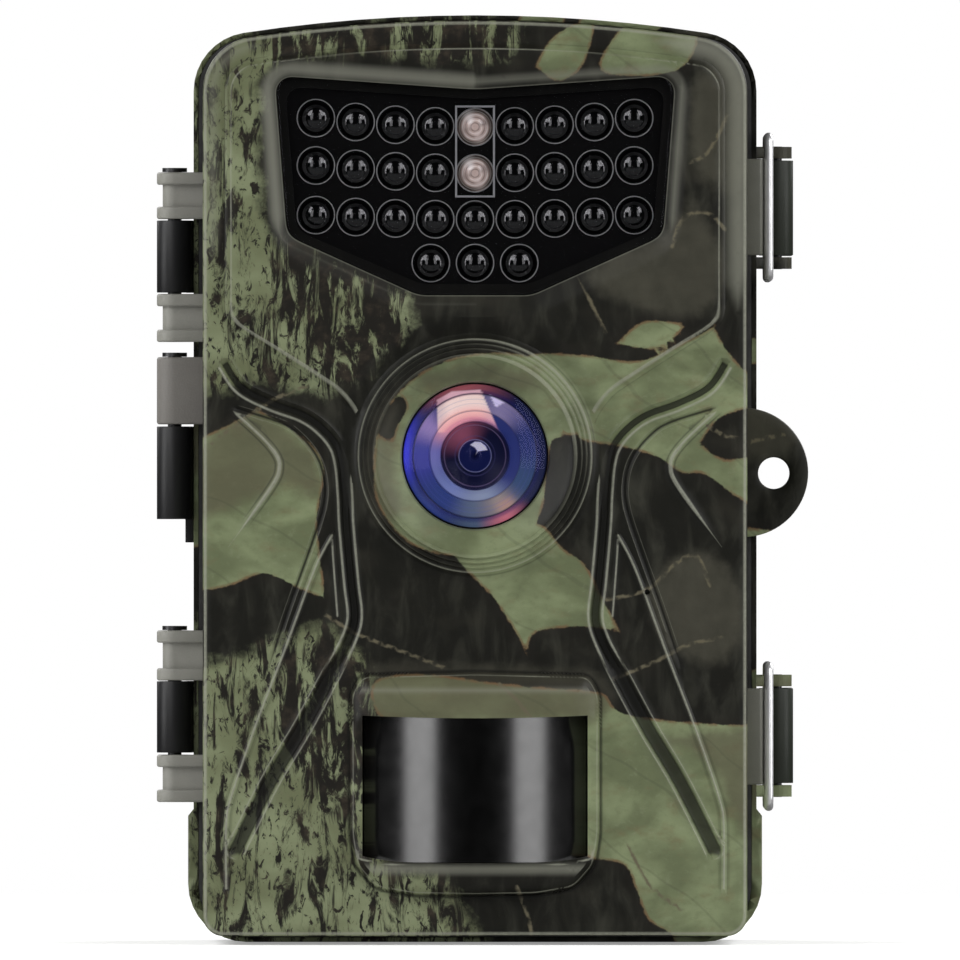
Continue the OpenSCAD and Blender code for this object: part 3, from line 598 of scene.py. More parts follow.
MATERIALS = {
    "camo": camouflage("camouflage_print"),
    "camo_rear": camouflage("camouflage_print_rear", 0.46),
    "ear": moulded("grey_green_plastic", (0.160, 0.158, 0.138), (0.235, 0.232, 0.206), 0.5),
    "block": moulded("grey_plastic", (0.108, 0.101, 0.092), (0.155, 0.146, 0.133), 0.55, 0.05, 3.5),
    "latch": moulded("latch_plastic", (0.010, 0.012, 0.009), (0.019, 0.022, 0.016), 0.42, 0.03, 5.0, 0.2),
    "catch": moulded("catch_plastic", (0.060, 0.060, 0.046), (0.095, 0.095, 0.076), 0.45),
    "barrel": moulded("black_plastic", (0.005, 0.005, 0.0055), (0.010, 0.010, 0.011), 0.42, 0.02, 7, 0.35),
    "tray": moulded("tray_plastic", (0.018, 0.018, 0.019), (0.030, 0.030, 0.031), 0.55, 0.04),
    "panel": moulded("panel_plastic", (0.022, 0.023, 0.022), (0.036, 0.037, 0.035), 0.5, 0.05, 4),
    "bracket": moulded("bracket_plastic", (0.040, 0.046, 0.030), (0.066, 0.074, 0.050), 0.52, 0.05, 4),
    "socket": moulded("socket_plastic", (0.010, 0.010, 0.011), (0.022, 0.022, 0.023), 0.45),
    "switch": moulded("switch_plastic", (0.50, 0.50, 0.48), (0.62, 0.62, 0.60), 0.4),
    "card": moulded("card_plastic", (0.012, 0.016, 0.035), (0.022, 0.028, 0.055), 0.4),
    "screen": moulded("screen_body", (0.030, 0.036, 0.045), (0.060, 0.070, 0.085), 0.3),
    "print": moulded("grey_print", (0.26, 0.26, 0.27), (0.34, 0.34, 0.35), 0.5),
    "chip": moulded("chip_resin", (0.012, 0.012, 0.012), (0.028, 0.028, 0.028), 0.55),
    "seal": rubber("seal_rubber", (0.010, 0.010, 0.010), (0.028, 0.027, 0.026)),
    "plug": rubber("plug_rubber", (0.012, 0.012, 0.012), (0.032, 0.031, 0.030)),
    "key": rubber("key_rubber", (0.075, 0.078, 0.082), (0.120, 0.124, 0.130), 0.55),
    "steel": metal("bright_steel", (0.74, 0.74, 0.75), (0.92, 0.92, 0.93), 0.32, (0.5, 0.5, 6), 0.75),
    "gunmetal": metal("blackened_steel", (0.045, 0.045, 0.046), (0.080, 0.080, 0.082), 0.38),
    "plate": metal("nickel_plate", (0.52, 0.51, 0.49), (0.70, 0.69, 0.67), 0.26),
    "gold": metal("gold_flash", (0.78, 0.56, 0.24), (0.90, 0.68, 0.34), 0.22),
    "brass": metal("turned_brass", (0.60, 0.43, 0.18), (0.76, 0.57, 0.27), 0.28),
    "board": circuit_board("circuit_board"),
    "window": see_through("window_acrylic", (0.86, 0.86, 0.87), 0.02, (0.25, 0.25, 0.27), 0.02, 1.35),
    "front_glass": see_through("front_glass", (0.97, 0.96, 1.0), 0.0, (0.35, 0.35, 0.6), 0.01, 1.3),
    "optic": see_through("optical_glass", (0.97, 0.97, 1.0), 0.0, (0.4, 0.4, 0.6), 0.02, 1.3),
    "screen_cover": see_through("screen_cover", (0.35, 0.37, 0.40), 0.3, (0.8, 0.8, 0.8)),
    "lamp": glossy_black("lamp_epoxy", (0.0012, 0.0012, 0.0013), 0.09, 1.0, 0.8),
    "pir": glossy_black("sensor_window", (0.0002, 0.0002, 0.0002), 0.18, 0, 1.0, 1.7),
    "black": glossy_black("black_lining", (0.0012, 0.0012, 0.0012), 0.5, 0, 0.1),
    # lens rings: painted reflections in the coatings, with a faint painted glow
    "lens_inside": tinted("lens_rings", 0.4, 0.0, 0.12, 0.58),
    "cell": tinted("cell_jacket", 0.3, 0.4),
    # pale rims round the lamp holes: a painted highlight
    "rim": moulded("hole_rim_painted_highlight", (0.22, 0.22, 0.22), (0.32, 0.32, 0.32), 0.25),
    # clear lamps: painted reflections of the reflector cup, with a faint painted glow
    "clear_lamp": tinted("clear_lamp_resin", 0.16, 1.0, 0.5, 0.36),
}


# ---- making pieces -------------------------------------------------------------------

def new_piece(name, verts, faces, body, look, replaced=(), smooth=35):
    """A closed mesh in millimetres becomes a piece that rides on a body."""
    mesh = bpy.data.meshes.new(name)
    mesh.from_pydata([tuple(float(c) * MM for c in v) for v in verts], [], [tuple(f) for f in faces])
    obj = bpy.data.objects.new(name, mesh)
    bpy.context.collection.objects.link(obj)
    return finish_piece(obj, body, look, replaced, smooth)


def finish_piece(obj, body, look, replaced=(), smooth=35):
    mesh = obj.data
    bm = bmesh.new()
    bm.from_mesh(mesh)
    bmesh.ops.recalc_face_normals(bm, faces=bm.faces)
    bm.to_mesh(mesh)
    bm.free()
    mesh.materials.clear()
    mesh.materials.append(MATERIALS[look])
    mesh.shade_smooth()
    mesh.set_sharp_from_angle(angle=math.radians(smooth))
    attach(obj, body)
    if replaced:
        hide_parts(*replaced)
    return obj


def mesh_points(obj):
    return np.array([v.co for v in obj.data.vertices], float).reshape(-1, 3) / MM


def bridge(faces, a, b, n):
    """Quads between two rings of n points that start at a and b."""
    for i in range(n):
        j = (i + 1) % n
        faces.append((a + i, a + j, b + j, b + i))


def joined(parts):
    """Several (verts, faces) as one."""
    verts, faces = [], []
    for v, f in parts:
        faces += [tuple(i + len(verts) for i in face) for face in f]
        verts += [tuple(p) for p in v]
    return verts, faces


def turned(profile, centre, n=48, axis="y"):
    """A closed profile of (radius, place along the axis) turned into a ring or a solid."""
    verts, faces = [], []
    rows = []
    for r, t in profile:
        if r < 1e-6:
            rows.append((len(verts), 1))
            verts.append((0, 0, t))
        else:
            rows.append((len(verts), n))
            verts += [(x, z, t) for x, z in circle(0, 0, r, n)]
    for (a, na), (b, nb) in zip(rows, rows[1:] + rows[:1]):
        if na == n and nb == n:
            bridge(faces, a, b, n)
        elif na == n or nb == n:
            ring, tip = (a, b) if na == n else (b, a)
            faces += [(ring + i, ring + (i + 1) % n, tip) for i in range(n)]
    cx, cy, cz = centre
    if axis == "y":
        verts = [(cx + x, cy + t, cz + z) for x, z, t in verts]
    else:
        verts = [(cx + x, cy + z, cz + t) for x, z, t in verts]
    return verts, faces


def tube(points, radius, n=12):
    """A round bar along a path, with domed ends."""
    p = [Vector(q) for q in points]
    side = (p[1] - p[0]).orthogonal().normalized()
    rings = []
    for i, q in enumerate(p):
        ahead = (p[min(i + 1, len(p) - 1)] - p[max(i - 1, 0)]).normalized()
        side = (side - ahead * side.dot(ahead)).normalized()
        rings.append((q, side.copy(), ahead.cross(side), ahead, radius))

    def dome(ring, way):
        q, right, up, ahead, _ = ring
        return [(q + ahead * way * radius * math.sqrt(1 - r * r), right, up, ahead, radius * r)
                for r in (0.5, 0.87)]

    rings = dome(rings[0], -1) + rings + dome(rings[-1], 1)[::-1]
    verts, faces = [], []
    for q, right, up, _, r in rings:
        verts += [tuple(q + right * x + up * y) for x, y in circle(0, 0, r, n)]
    for i in range(len(rings) - 1):
        bridge(faces, i * n, (i + 1) * n, n)
    faces.append(tuple(range(n)))
    faces.append(tuple(range(len(verts) - n, len(verts))))
    return verts, faces


def prism(outline, low, high, bevel=0.25, axis="z"):
    """An extruded outline with rounded edges, as (verts, faces). Its axis is y or z."""
    bm = bmesh.new()
    n = len(outline)
    rings = [[bm.verts.new((a, b, t) if axis == "z" else (a, t, b)) for a, b in outline] for t in (low, high)]
    for i in range(n):
        j = (i + 1) % n
        bm.faces.new((rings[0][i], rings[0][j], rings[1][j], rings[1][i]))
    bm.faces.new(rings[0][::-1])
    bm.faces.new(rings[1])
    bmesh.ops.recalc_face_normals(bm, faces=bm.faces)
    if bevel:
        sharp = [e for e in bm.edges if e.calc_face_angle(0) > math.radians(28)]
        bmesh.ops.bevel(bm, geom=sharp, offset=bevel, segments=3, profile=0.5, affect="EDGES",
                        clamp_overlap=True)
    bm.verts.index_update()
    verts = [tuple(v.co) for v in bm.verts]
    faces = [tuple(v.index for v in f.verts) for f in bm.faces]
    bm.free()
    return verts, faces


def refined(bm, longest):
    """Splits long edges until the print's attributes have enough points."""
    bmesh.ops.triangulate(bm, faces=bm.faces)
    for _ in range(7):
        long_edges = [e for e in bm.edges if e.calc_length() > longest * MM]
        if not long_edges:
            break
        bmesh.ops.subdivide_edges(bm, edges=long_edges, cuts=1)
        bmesh.ops.triangulate(bm, faces=[f for f in bm.faces if len(f.verts) > 3])


WELD = 0.002   # corners of the CAD mesh this near to one another are one
SLIVER = 0.02  # shorter edges are merged before a mesh is refined


def from_cad(node, name, body, look, bevel=0.25, longest=None, smooth=35):
    """A copy of a CAD node with rounded edges, which replaces it."""
    bm = bmesh.new()
    bm.from_mesh(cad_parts[node].data)
    bmesh.ops.remove_doubles(bm, verts=bm.verts, dist=WELD * MM)
    bmesh.ops.dissolve_limit(bm, angle_limit=math.radians(0.5), verts=bm.verts, edges=bm.edges)
    if bevel:
        sharp = [e for e in bm.edges if e.calc_face_angle(0) > math.radians(40)]
        bmesh.ops.bevel(bm, geom=sharp, offset=bevel * MM, segments=2, profile=0.5, affect="EDGES",
                        clamp_overlap=True)
    if longest:
        bmesh.ops.remove_doubles(bm, verts=bm.verts, dist=SLIVER * MM)
        bmesh.ops.dissolve_degenerate(bm, edges=bm.edges, dist=SLIVER * MM)
        refined(bm, longest)
    mesh = bpy.data.meshes.new(name)
    bm.to_mesh(mesh)
    bm.free()
    obj = bpy.data.objects.new(name, mesh)
    bpy.context.collection.objects.link(obj)
    return finish_piece(obj, body, look, (node,), smooth)


def repaint(look, *nodes):
    """A CAD node whose shape is right gets a better material."""
    for node in nodes:
        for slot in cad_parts[node].material_slots:
            slot.material = MATERIALS[look]


# ---- front shell: relief of the face -------------------------------------------------
# Paths are given for the right half and mirrored.

FIELD_SIDE = [(13.6, 61.9), (15.9, 66), (16.6, 69.7), (16.8, 73.2), (17.7, 76.4), (20, 79.5),
              (23.1, 81.7), (29.4, 85.8), (35.2, 89.6), (36.2, 92.2)]
TRENCH = curve([(36.1, 84), (33.8, 80.7), (29.4, 78.4), (25, 76.8), (22.2, 74.9), (20.1, 72.4),
                (19.2, 69.5), (18.8, 65), (18.6, 60.5), (17.9, 52.4), (17.4, 47.6), (18.2, 44.4),
                (20.2, 40.4), (24.9, 31.6), (29.5, 23.9), (34.6, 13.8)])
STEP = curve([(35.8, 78), (28.4, 75.7), (25.4, 73.8), (22.9, 70.7), (21.8, 67.2), (22, 63.2),
              (24, 57), (26.9, 49), (29.4, 41.5), (31.1, 36)])
LEG = curve([(20.7, 59.3), (23.1, 54.6), (26.5, 45.5), (28.1, 41.2), (31.9, 31.3), (35.3, 21.3),
             (36, 17.2), (36, 8.2)])
INNER_LEG = curve([(20.7, 59.3), (20.5, 55.6), (19.9, 47.6)])
HOOK = curve([(35.7, 77.9), (31, 73.6), (28.8, 71), (28.3, 69), (29.5, 66.2), (35.7, 57.6)])
RING_STEPS = [(BORE_R, -0.9), (10.85, -0.1), (14.05, 2.0), (14.3, 2.35), (14.75, 2.35), (15.0, 1.95),
              (15.5, 1.9), (15.75, 1.45), (16.2, 1.4), (16.45, 0.95), (16.9, 0.85), (17.4, 0.2), (17.8, 0)]
HOOD_TOP = 39.6
HOOD = rounded(mirrored([(0, 7.0), (9, 7.2), (14.5, 8.2), (17.4, 11.5), (18.1, 16), (18.1, 36.5),
                         (16.6, 39.1), (0, HOOD_TOP)]), 1.2)


def field_outline():
    top = [p for p in front_outline(3.2) if p[1] > 93 and p[0] > 0.01]
    return mirrored(list(curve(FIELD_SIDE, steps=4)) + top + [(0, FRONT_Z[1] - 3.2)])


FIELD = field_outline()


def fade(points, path, ends=(6, 6)):
    """1 along a path, falling to 0 over its first and last few millimetres."""
    start = np.hypot(*(points - path[0]).T)
    end = np.hypot(*(points - path[-1]).T)
    return ease(start / ends[0]) * ease(end / ends[1])


def hood_height(points):
    """Visor and lip round the motion sensor."""
    x, z = points.T
    depth = depth_inside(points, HOOD)
    tall = np.interp(z, [9, 12.4, 15, 29, 32.8, 36], [2.4, 2.8, 1.4, 1.5, 3.5, 3.4])
    reach = np.interp(z, [12, 30, 36], [1.8, 2.2, 4.4])
    return np.where(depth > 0, tall * (1 - 0.22 * (x / PIR_HALF_W) ** 2) * roll(depth / reach), -9)


def trench_width(folded):
    """Half width of the trench: narrow beside the lens, wider on its way down."""
    return 0.72 + 0.33 * ease((44 - folded[:, 1]) / 6)


def relief(points):
    """How far the face stands in front of its flat plane at each (x, z)."""
    x, z = points.T
    a = np.abs(x)
    folded = np.stack([a, z], axis=1)
    h = FIELD_H * ease(depth_inside(points, FIELD) / 1.1)
    out = -depth_inside(points, shield(0))
    slope = 2.4 + 0.5 * ease((103 - z) / 6)
    h = np.minimum(h, 0.12 + (FIELD_H - 0.12) * np.clip(out, 0, None) / slope)

    trench = distance_to(folded, TRENCH)
    wide = trench_width(folded)
    h -= 0.6 * (1 - ease((trench - wide + 0.45) / 0.45))
    h += 0.2 * (1 - ease(np.abs(trench - wide - 0.35) / 0.35))
    h += 0.36 * (1 - ease(distance_to(folded, LEG) / 0.42))
    h += 0.22 * (1 - ease(distance_to(folded, INNER_LEG) / 0.35))
    step = distance_to(folded, STEP)
    h -= 0.35 * (1 - ease((step - 0.1) / 0.35)) * fade(folded, STEP, (2, 9))
    h += 0.34 * (1 - ease(distance_to(folded, HOOK) / 0.6)) * fade(folded, HOOK, (3, 6))

    r = np.hypot(x, z - LENS_Z)
    ring = np.interp(r, *zip(*RING_STEPS))
    h = np.where(r < RING_STEPS[-1][0], ring, h * ease((r - RING_STEPS[-1][0]) / 2.6))
    h = np.maximum(h, hood_height(points))

    edge = depth_inside(points, front_outline(0))
    h -= np.where(edge < EDGE_R, EDGE_R - np.sqrt(np.clip(EDGE_R ** 2 - (EDGE_R - edge) ** 2, 0, None)), 0)
    return h


def painted_light_distances(points):
    """Distances to the face's ridges, grooves and bevels, in millimetres, that place painted highlights,
    painted shade and a painted pale sheen.

    A weaker line gets a small head start, so that less of it shows.
    """
    x, z = points.T
    folded = np.stack([np.abs(x), z], axis=1)
    r = np.hypot(x, z - LENS_Z)
    field = depth_inside(points, FIELD)
    pane = -depth_inside(points, shield(0))
    edge = depth_inside(points, front_outline(0))
    hood = depth_inside(points, HOOD)
    trench, wide = distance_to(folded, TRENCH), trench_width(folded)
    leg, inner_leg = distance_to(folded, LEG), distance_to(folded, INNER_LEG)
    hook, step = distance_to(folded, HOOK), distance_to(folded, STEP)
    hook_end = 0.3 * (1 - fade(folded, HOOK, (2, 9)))
    step_end = 0.4 * (1 - fade(folded, STEP, (2, 9)))
    near_lens = FAR * (r < 17.9)
    off_hood = FAR * (hood < 0.8)
    # high up the trench keeps only its lower ridge, and its bottom is one thin line
    high = ease((z - 67) / 4)
    upper = high * (z > np.interp(folded[:, 0], TRENCH[::-1, 0][-41:], TRENCH[::-1, 1][-41:]))
    lit_side = 0.12 * toward(np.arctan2(z - LENS_Z, x), 40, 70)
    mouth = -depth_inside(points, pir_opening(0))
    low = ease((44 - z) / 5)
    field_edge = np.clip(np.abs(field - 0.9) - 0.2 * ease((95 - z) / 5), 0, FAR)
    # painted highlights along ridges and edges
    lip = [np.abs(trench - wide - 0.3) + near_lens + 0.07 * low + upper, leg + 0.03, inner_leg + 0.06,
           hook + hook_end - 0.1 * (z < 72), np.abs(pane - 0.15) + 0.02, np.abs(edge - 0.35) - 0.06,
           np.abs(step - 0.5) + 0.2 + step_end, field_edge + 0.1 + near_lens,
           np.abs(mouth - 0.5) + 0.05 + 0.3 * (z > 14), np.abs(hood - 0.45) + 0.13]
    lip += [np.abs(r - ring_r) + weaker - lit_side
            for ring_r, weaker in ((14.55, 0.02), (15.35, 0.1), (16.05, 0.1), (16.8, 0.04))]
    # painted shade in grooves and at the feet of steps
    gap = [np.abs(trench - wide + 0.2) + near_lens + 0.1 * low + high,
           np.abs(trench) + near_lens + 0.6 * low + 0.12 * high,
           np.abs(leg - 0.6) + 0.15, np.abs(step) + 0.1 + step_end, np.abs(field + 0.1) + 0.2 + near_lens,
           np.abs(hook - 0.6) + 0.2 + hook_end, np.abs(hood + 0.1) + 0.05]
    gap += [np.abs(r - ring_r) + weaker
            for ring_r, weaker in ((15.0, 0.3), (15.75, 0.32), (16.45, 0.32), (17.35, 0.2))]
    # painted pale sheen on the bevels, stronger near the upper corners
    corner = ease((z - 88) / 10) * ease((x - 22) / 10) + 0.6 * ease((z - 95) / 8) * ease((-x - 28) / 6)
    haze = [np.abs(edge - 1.5) * 0.6 + 1.5 * (1 - corner),
            np.abs(pane - 1.2) * 0.9 + 1.1 * ease((106 - z) / 5) + 0.5 * (x > 0),
            np.abs(HOOD_TOP - 2.7 - z) + 0.65 + off_hood, np.abs(z - 11) + 0.2 + off_hood]
    return np.min(lip, axis=0), np.min(gap, axis=0), np.min(haze, axis=0)


class Sieve:
    """Keeps points that aren't too near one another."""

    def __init__(self, cell=1.0):
        self.cell, self.kept, self.points = cell, {}, []

    def add(self, points, gap):
        for x, z in points:
            i, j = int(x // self.cell), int(z // self.cell)
            near = (p for di in (-1, 0, 1) for dj in (-1, 0, 1) for p in self.kept.get((i + di, j + dj), ()))
            if all((x - p) ** 2 + (z - q) ** 2 >= gap * gap for p, q in near):
                self.kept.setdefault((i, j), []).append((x, z))
                self.points.append((x, z))


def beside(path, offsets, step=0.55):
    """Points along both halves' copy of a path, at several distances from it."""
    path = np.asarray(path, float)
    length = np.concatenate([[0], np.cumsum(np.hypot(*np.diff(path, axis=0).T))])
    at = np.linspace(0, length[-1], max(2, int(length[-1] / step)))
    x, z = np.interp(at, length, path[:, 0]), np.interp(at, length, path[:, 1])
    tx, tz = np.gradient(x), np.gradient(z)
    size = np.maximum(np.hypot(tx, tz), 1e-9)
    sets = [np.stack([x - o * tz / size, z + o * tx / size], axis=1) for o in offsets]
    right = np.concatenate(sets)
    right = right[right[:, 0] > 0.05]
    return np.concatenate([right, right * (-1, 1)])


def filled(loops, extra, holes):
    """Triangles over an outer loop with holes, through extra points. Loops keep their order."""
    points = np.concatenate([*loops, extra]) if len(extra) else np.concatenate(loops)
    edges, at = [], 0
    for loop in loops:
        edges += [(at + i, at + (i + 1) % len(loop)) for i in range(len(loop))]
        at += len(loop)
    made = delaunay_2d_cdt([Vector(p) for p in points], edges, [], 0, 1e-5)
    verts, tris, origin = np.array(made[0], float), np.array(made[2]), made[3]
    middle = verts[tris].mean(axis=1)
    keep = is_inside(middle, loops[0])
    for hole in holes:
        keep &= ~is_inside(middle, hole)
    index = {}
    for new, olds in enumerate(origin):
        for old in olds:
            index[old] = new
    return verts, tris[keep], [index[i] for i in range(at)]


def off_ring(points, inner=0.0):
    """Drops the points that would break up the turned steps round the lens."""
    r = np.hypot(points[:, 0], points[:, 1] - LENS_Z)
    return points[(r < inner) | (r > RING_STEPS[-1][0] + 0.15)]


def face_points(loops):
    """Points for the face: close together along the relief, even elsewhere."""
    sieve = Sieve()
    for loop in loops:
        sieve.add(loop, 0.0)
    fixed = len(sieve.points)
    for r, _ in RING_STEPS[1:]:
        sieve.add(circle(0, LENS_Z, r, 150 if r < 14 else 240), 0.2)
    for r in (11.7, 12.5, 13.3):
        sieve.add(circle(0, LENS_Z, r, 140), 0.2)
    for d in (0.6, 1.2, 1.8, 2.4, 2.9):
        sieve.add(shield(-d * 0.98), 0.3)
    for path, offsets in ((TRENCH, (0, 0.35, 0.72, 1.05, 1.4, 1.75)), (LEG, (0, 0.22, 0.45, 0.8)),
                          (INNER_LEG, (0, 0.22, 0.45)), (STEP, (0, 0.25, 0.5)), (HOOK, (0, 0.25, 0.6))):
        both = [o for d in offsets for o in ((d, -d) if d else (0,))]
        sieve.add(off_ring(beside(path, both)), 0.2)
    field = subdivided(FIELD, 0.6)
    middle = np.array([0, 100])
    for d in (0.0, 0.3, 0.6, 0.9, 1.2):
        away = middle - field
        sieve.add(off_ring(field + away / np.hypot(*away.T)[:, None] * d), 0.24)
    for d in (0.4, 0.6, 0.9, 1.4, 2.4):
        sieve.add(front_outline(d), 0.3)
    hood = subdivided(HOOD, 0.55)
    away = (0, 22) - hood
    for d in (-0.25, 0, 0.25, 0.5, 0.8, 1.2, 1.7, 2.3):
        sieve.add(hood + away / np.hypot(*away.T)[:, None] * d, 0.24)
    for z in np.concatenate([np.linspace(9.5, 11.7, 5), np.linspace(33.4, 38.4, 11)]):
        sieve.add([(x, z) for x in np.linspace(-16, 16, 60)], 0.3)
    grid = [(x + (j % 2) * 0.4, z) for j, z in enumerate(np.arange(2.2, 133.5, 0.72))
            for x in np.arange(-39.2, 39.3, 0.8)]
    grid = np.array(grid)
    grid = grid[depth_inside(grid, loops[0]) > 0.5]
    for hole in loops[1:]:
        grid = grid[depth_inside(grid, hole) < -0.3]
    sieve.add(off_ring(grid, 13.9), 0.52)
    extra = np.array(sieve.points[fixed:])
    keep = depth_inside(extra, loops[0]) > 0.12
    for hole in loops[1:]:
        keep &= depth_inside(extra, hole) < -0.12
    return extra[keep]


def front_shell():
    n = len(front_outline(0))
    holes = [shield(0), circle(0, LENS_Z, BORE_R, 150), pir_opening(0), circle(24.9, 51.1, 0.4, 12)]
    edge_d = EDGE_R * (1 - math.cos(math.radians(45)))
    loops = [front_outline(edge_d), *holes]
    flat, tris, rim = filled(loops, face_points(loops), holes)
    heights = relief(flat)
    heights[rim[n + len(holes[0]):n + len(holes[0]) + len(holes[1])]] = RING_STEPS[0][1]
    verts = [(x, FACE_Y - h, z) for (x, z), h in zip(flat, heights)]
    where = [tuple(p) for p in flat]
    faces = [tuple(t) for t in tris]

    def strip(indices, rows, paint_rows=None):
        """Rings that go back from a loop of the face; gives the last ring's indices."""
        last = list(indices)
        for k, row in enumerate(rows):
            start = len(verts)
            verts.extend(row)
            where.extend(paint_rows[k] if paint_rows is not None else [(x, z) for x, _, z in row])
            ring = list(range(start, start + len(row)))
            for i in range(len(ring)):
                j = (i + 1) % len(ring)
                faces.append((last[i], last[j], ring[j], ring[i]))
            last = ring
        return last

    # rounded edge, side wall and the rim that meets the rear shell
    outer, outer_paint = [], []
    base = front_outline(0)
    ahead = np.roll(base, -1, 0) - np.roll(base, 1, 0)
    out = np.stack([ahead[:, 1], -ahead[:, 0]], axis=1) / np.hypot(*ahead.T)[:, None]
    backs = [(EDGE_R * (1 - math.sin(a)), EDGE_R * (1 - math.cos(a))) for a in np.radians((60, 75, 90))]
    backs += [(0, y) for y in np.arange(EDGE_R + 0.8, DOOR_Y - FACE_Y - 1.2, 1.1)]
    backs += [(0, DOOR_Y - FACE_Y - 0.4), (0.12, DOOR_Y - FACE_Y - 0.12), (0.4, DOOR_Y - FACE_Y)]
    for d, y in backs:
        loop = front_outline(d)
        outer.append([(x, FACE_Y + y, z) for x, z in loop])
        outer_paint.append([tuple(p) for p in base + out * (y - 0.5)])
    last = strip(rim[:n], outer, outer_paint)
    inside = [[(x, y, z) for x, z in front_outline(WALL)] for y in (DOOR_Y, (DOOR_Y + INNER_Y) / 2, INNER_Y)]
    back_rim = strip(last, inside)

    # holes: recess of the lamp window, lens bore, sensor opening and microphone
    at = n
    ends = []
    rows = [[(shield(0), FACE_Y + 0.5), (shield(-0.05), FACE_Y + 1.6), (shield(1.5), FACE_Y + 1.6),
             (shield(1.5), INNER_Y)],
            [(holes[1], FACE_Y + 1.5), (holes[1], INNER_Y)],
            [(holes[2], FACE_Y - 0.5), (holes[2], INNER_Y)],
            [(holes[3], INNER_Y)]]
    for hole, row in zip(holes, rows):
        indices = rim[at:at + len(hole)]
        at += len(hole)
        ends.append(strip(indices, [[(x, y, z) for x, z in loop] for loop, y in row]))

    # inner face of the front wall
    loops = [front_outline(WALL), shield(1.5), *holes[1:]]
    flat, tris, marks = filled(loops, [], loops[1:])
    ring = back_rim + [i for end in ends for i in end]
    same = {new: old for new, old in zip(marks, ring)}
    faces.extend(tuple(same[i] for i in t) for t in tris)
    obj = new_piece("front_shell_camouflaged", verts, faces, "door", "camo",
                    ("front_shell",), 32)
    paint(obj, where)
    lip, gap, haze = painted_light_distances(np.array(where, float))
    # behind the face, within its outline, the shell is dark and has no print
    points = mesh_points(obj)
    bare = (points[:, 1] > FACE_Y + 0.3) & (depth_inside(points[:, (0, 2)], front_outline(0)) > 1.5)
    for name, numbers in (("lip", lip + FAR * bare), ("gap", gap * (1 - bare)), ("haze", haze + FAR * bare)):
        store_number(obj, name, np.clip(numbers, 0, FAR))


# ---- front shell: hinge ears, latch catches and padlock tab --------------------------

def ear_outline(r):
    """Plan of an ear: round over the pin, with a web to the case."""
    case_x = -HALF_W + 0.9
    gap = math.degrees(math.asin((DOOR_Y - HINGE_Y) / r))
    points = [(case_x, HINGE_Y - r)] + arc(HINGE_X, HINGE_Y, r, 270, 0 - gap, 20)
    return points + [(HINGE_X + r * math.cos(math.radians(gap)), DOOR_Y), (case_x, DOOR_Y)]


EAR_Z = [(105.3, 112.1), (87.4, 94.4), (38.1, 45.4), (20.4, 27.3)]  # foot and top of each pair
BLOCK_Z = (75.4, 85.2)


def hinge_ears():
    """Pairs of thin ears on a narrower web, and one solid block."""
    parts = []
    plate = 1.8
    for z0, z1 in EAR_Z:
        for z in (z0, z1 - plate):
            parts.append(prism(ear_outline(2.6), z, z + plate, 0.3))
        parts.append(prism(ear_outline(1.75), z0 + plate - 0.05, z1 - plate + 0.05, 0))
    verts, faces = joined(parts)
    new_piece("hinge_ears", verts, faces, "door", "ear")
    verts, faces = prism(ear_outline(2.6), *BLOCK_Z, 0.35)
    new_piece("hinge_block", verts, faces, "door", "block")


LATCH_Z = {"upper": 107, "lower": 30}


def latch_catches():
    """Hooked blocks on the case's right side, each 14 mm tall."""
    hook = [(-1, 10), (2.2, 10), (2.4, 9.4), (2.4, 7.05), (3.9, 7.05), (3.9, 5.2), (2.4, 5.2), (2.4, 4.5),
            (-1, 4.5)]
    plan = [(HALF_W + out, PART_Y - ahead) for out, ahead in hook]
    verts, faces = joined([prism(plan, zc - 7, zc + 7, 0.25) for zc in LATCH_Z.values()])
    new_piece("latch_catches", verts, faces, "door", "catch")


def padlock_tab():
    """Half-round padlock tab with a rounded hole edge."""
    y0, y1 = DOOR_Y - 3, DOOR_Y
    cx, cz, r = 39.1, 68.4, 9.4
    hole_x, hole_z, hole_r = 43.5, 68.3, 2.3
    start = math.degrees(math.acos((HALF_W - 1.1 - cx) / r))
    end = math.radians(start)
    outer = np.array(arc(cx, cz, r, -start, start, 44) + [(cx + r * math.cos(end), cz + r * math.sin(end))])
    centre = np.array([cx + 3, cz])
    n, m = len(outer), 40

    def shrunk(d):
        away = outer - centre
        return outer - away / np.hypot(*away.T)[:, None] * d

    def bored(d):
        return circle(hole_x, hole_z, hole_r + d, m)

    verts, faces = [], []
    bevel = 0.35
    rows = [(y0, bevel), (y0 + bevel * 0.3, bevel * 0.3), (y0 + bevel, 0), (y1 - bevel, 0),
            (y1 - bevel * 0.3, bevel * 0.3), (y1, bevel)]
    for y, d in rows:
        verts += [(x, y, z) for x, z in shrunk(d)]
    for y, d in rows:
        verts += [(x, y, z) for x, z in bored(d)]
    for k in range(len(rows) - 1):
        bridge(faces, k * n, (k + 1) * n, n)
        bridge(faces, len(rows) * n + k * m, len(rows) * n + (k + 1) * m, m)
    for k in (0, len(rows) - 1):
        _, tris, marks = filled([shrunk(bevel), bored(bevel)], [], [bored(bevel)])
        source = [k * n + i for i in range(n)] + [len(rows) * n + k * m + i for i in range(m)]
        same = {new: old for new, old in zip(marks, source)}
        faces += [tuple(same[i] for i in t) for t in tris]
    obj = new_piece("padlock_tab_front", verts, faces, "door", "camo")
    bm = bmesh.new()
    bm.from_mesh(obj.data)
    refined(bm, 1.5)
    bm.to_mesh(obj.data)
    bm.free()
    paint(obj, mesh_points(obj)[:, (0, 2)] * (1, 0.9) + (-9, -22))


# ---- rear shell ----------------------------------------------------------------------

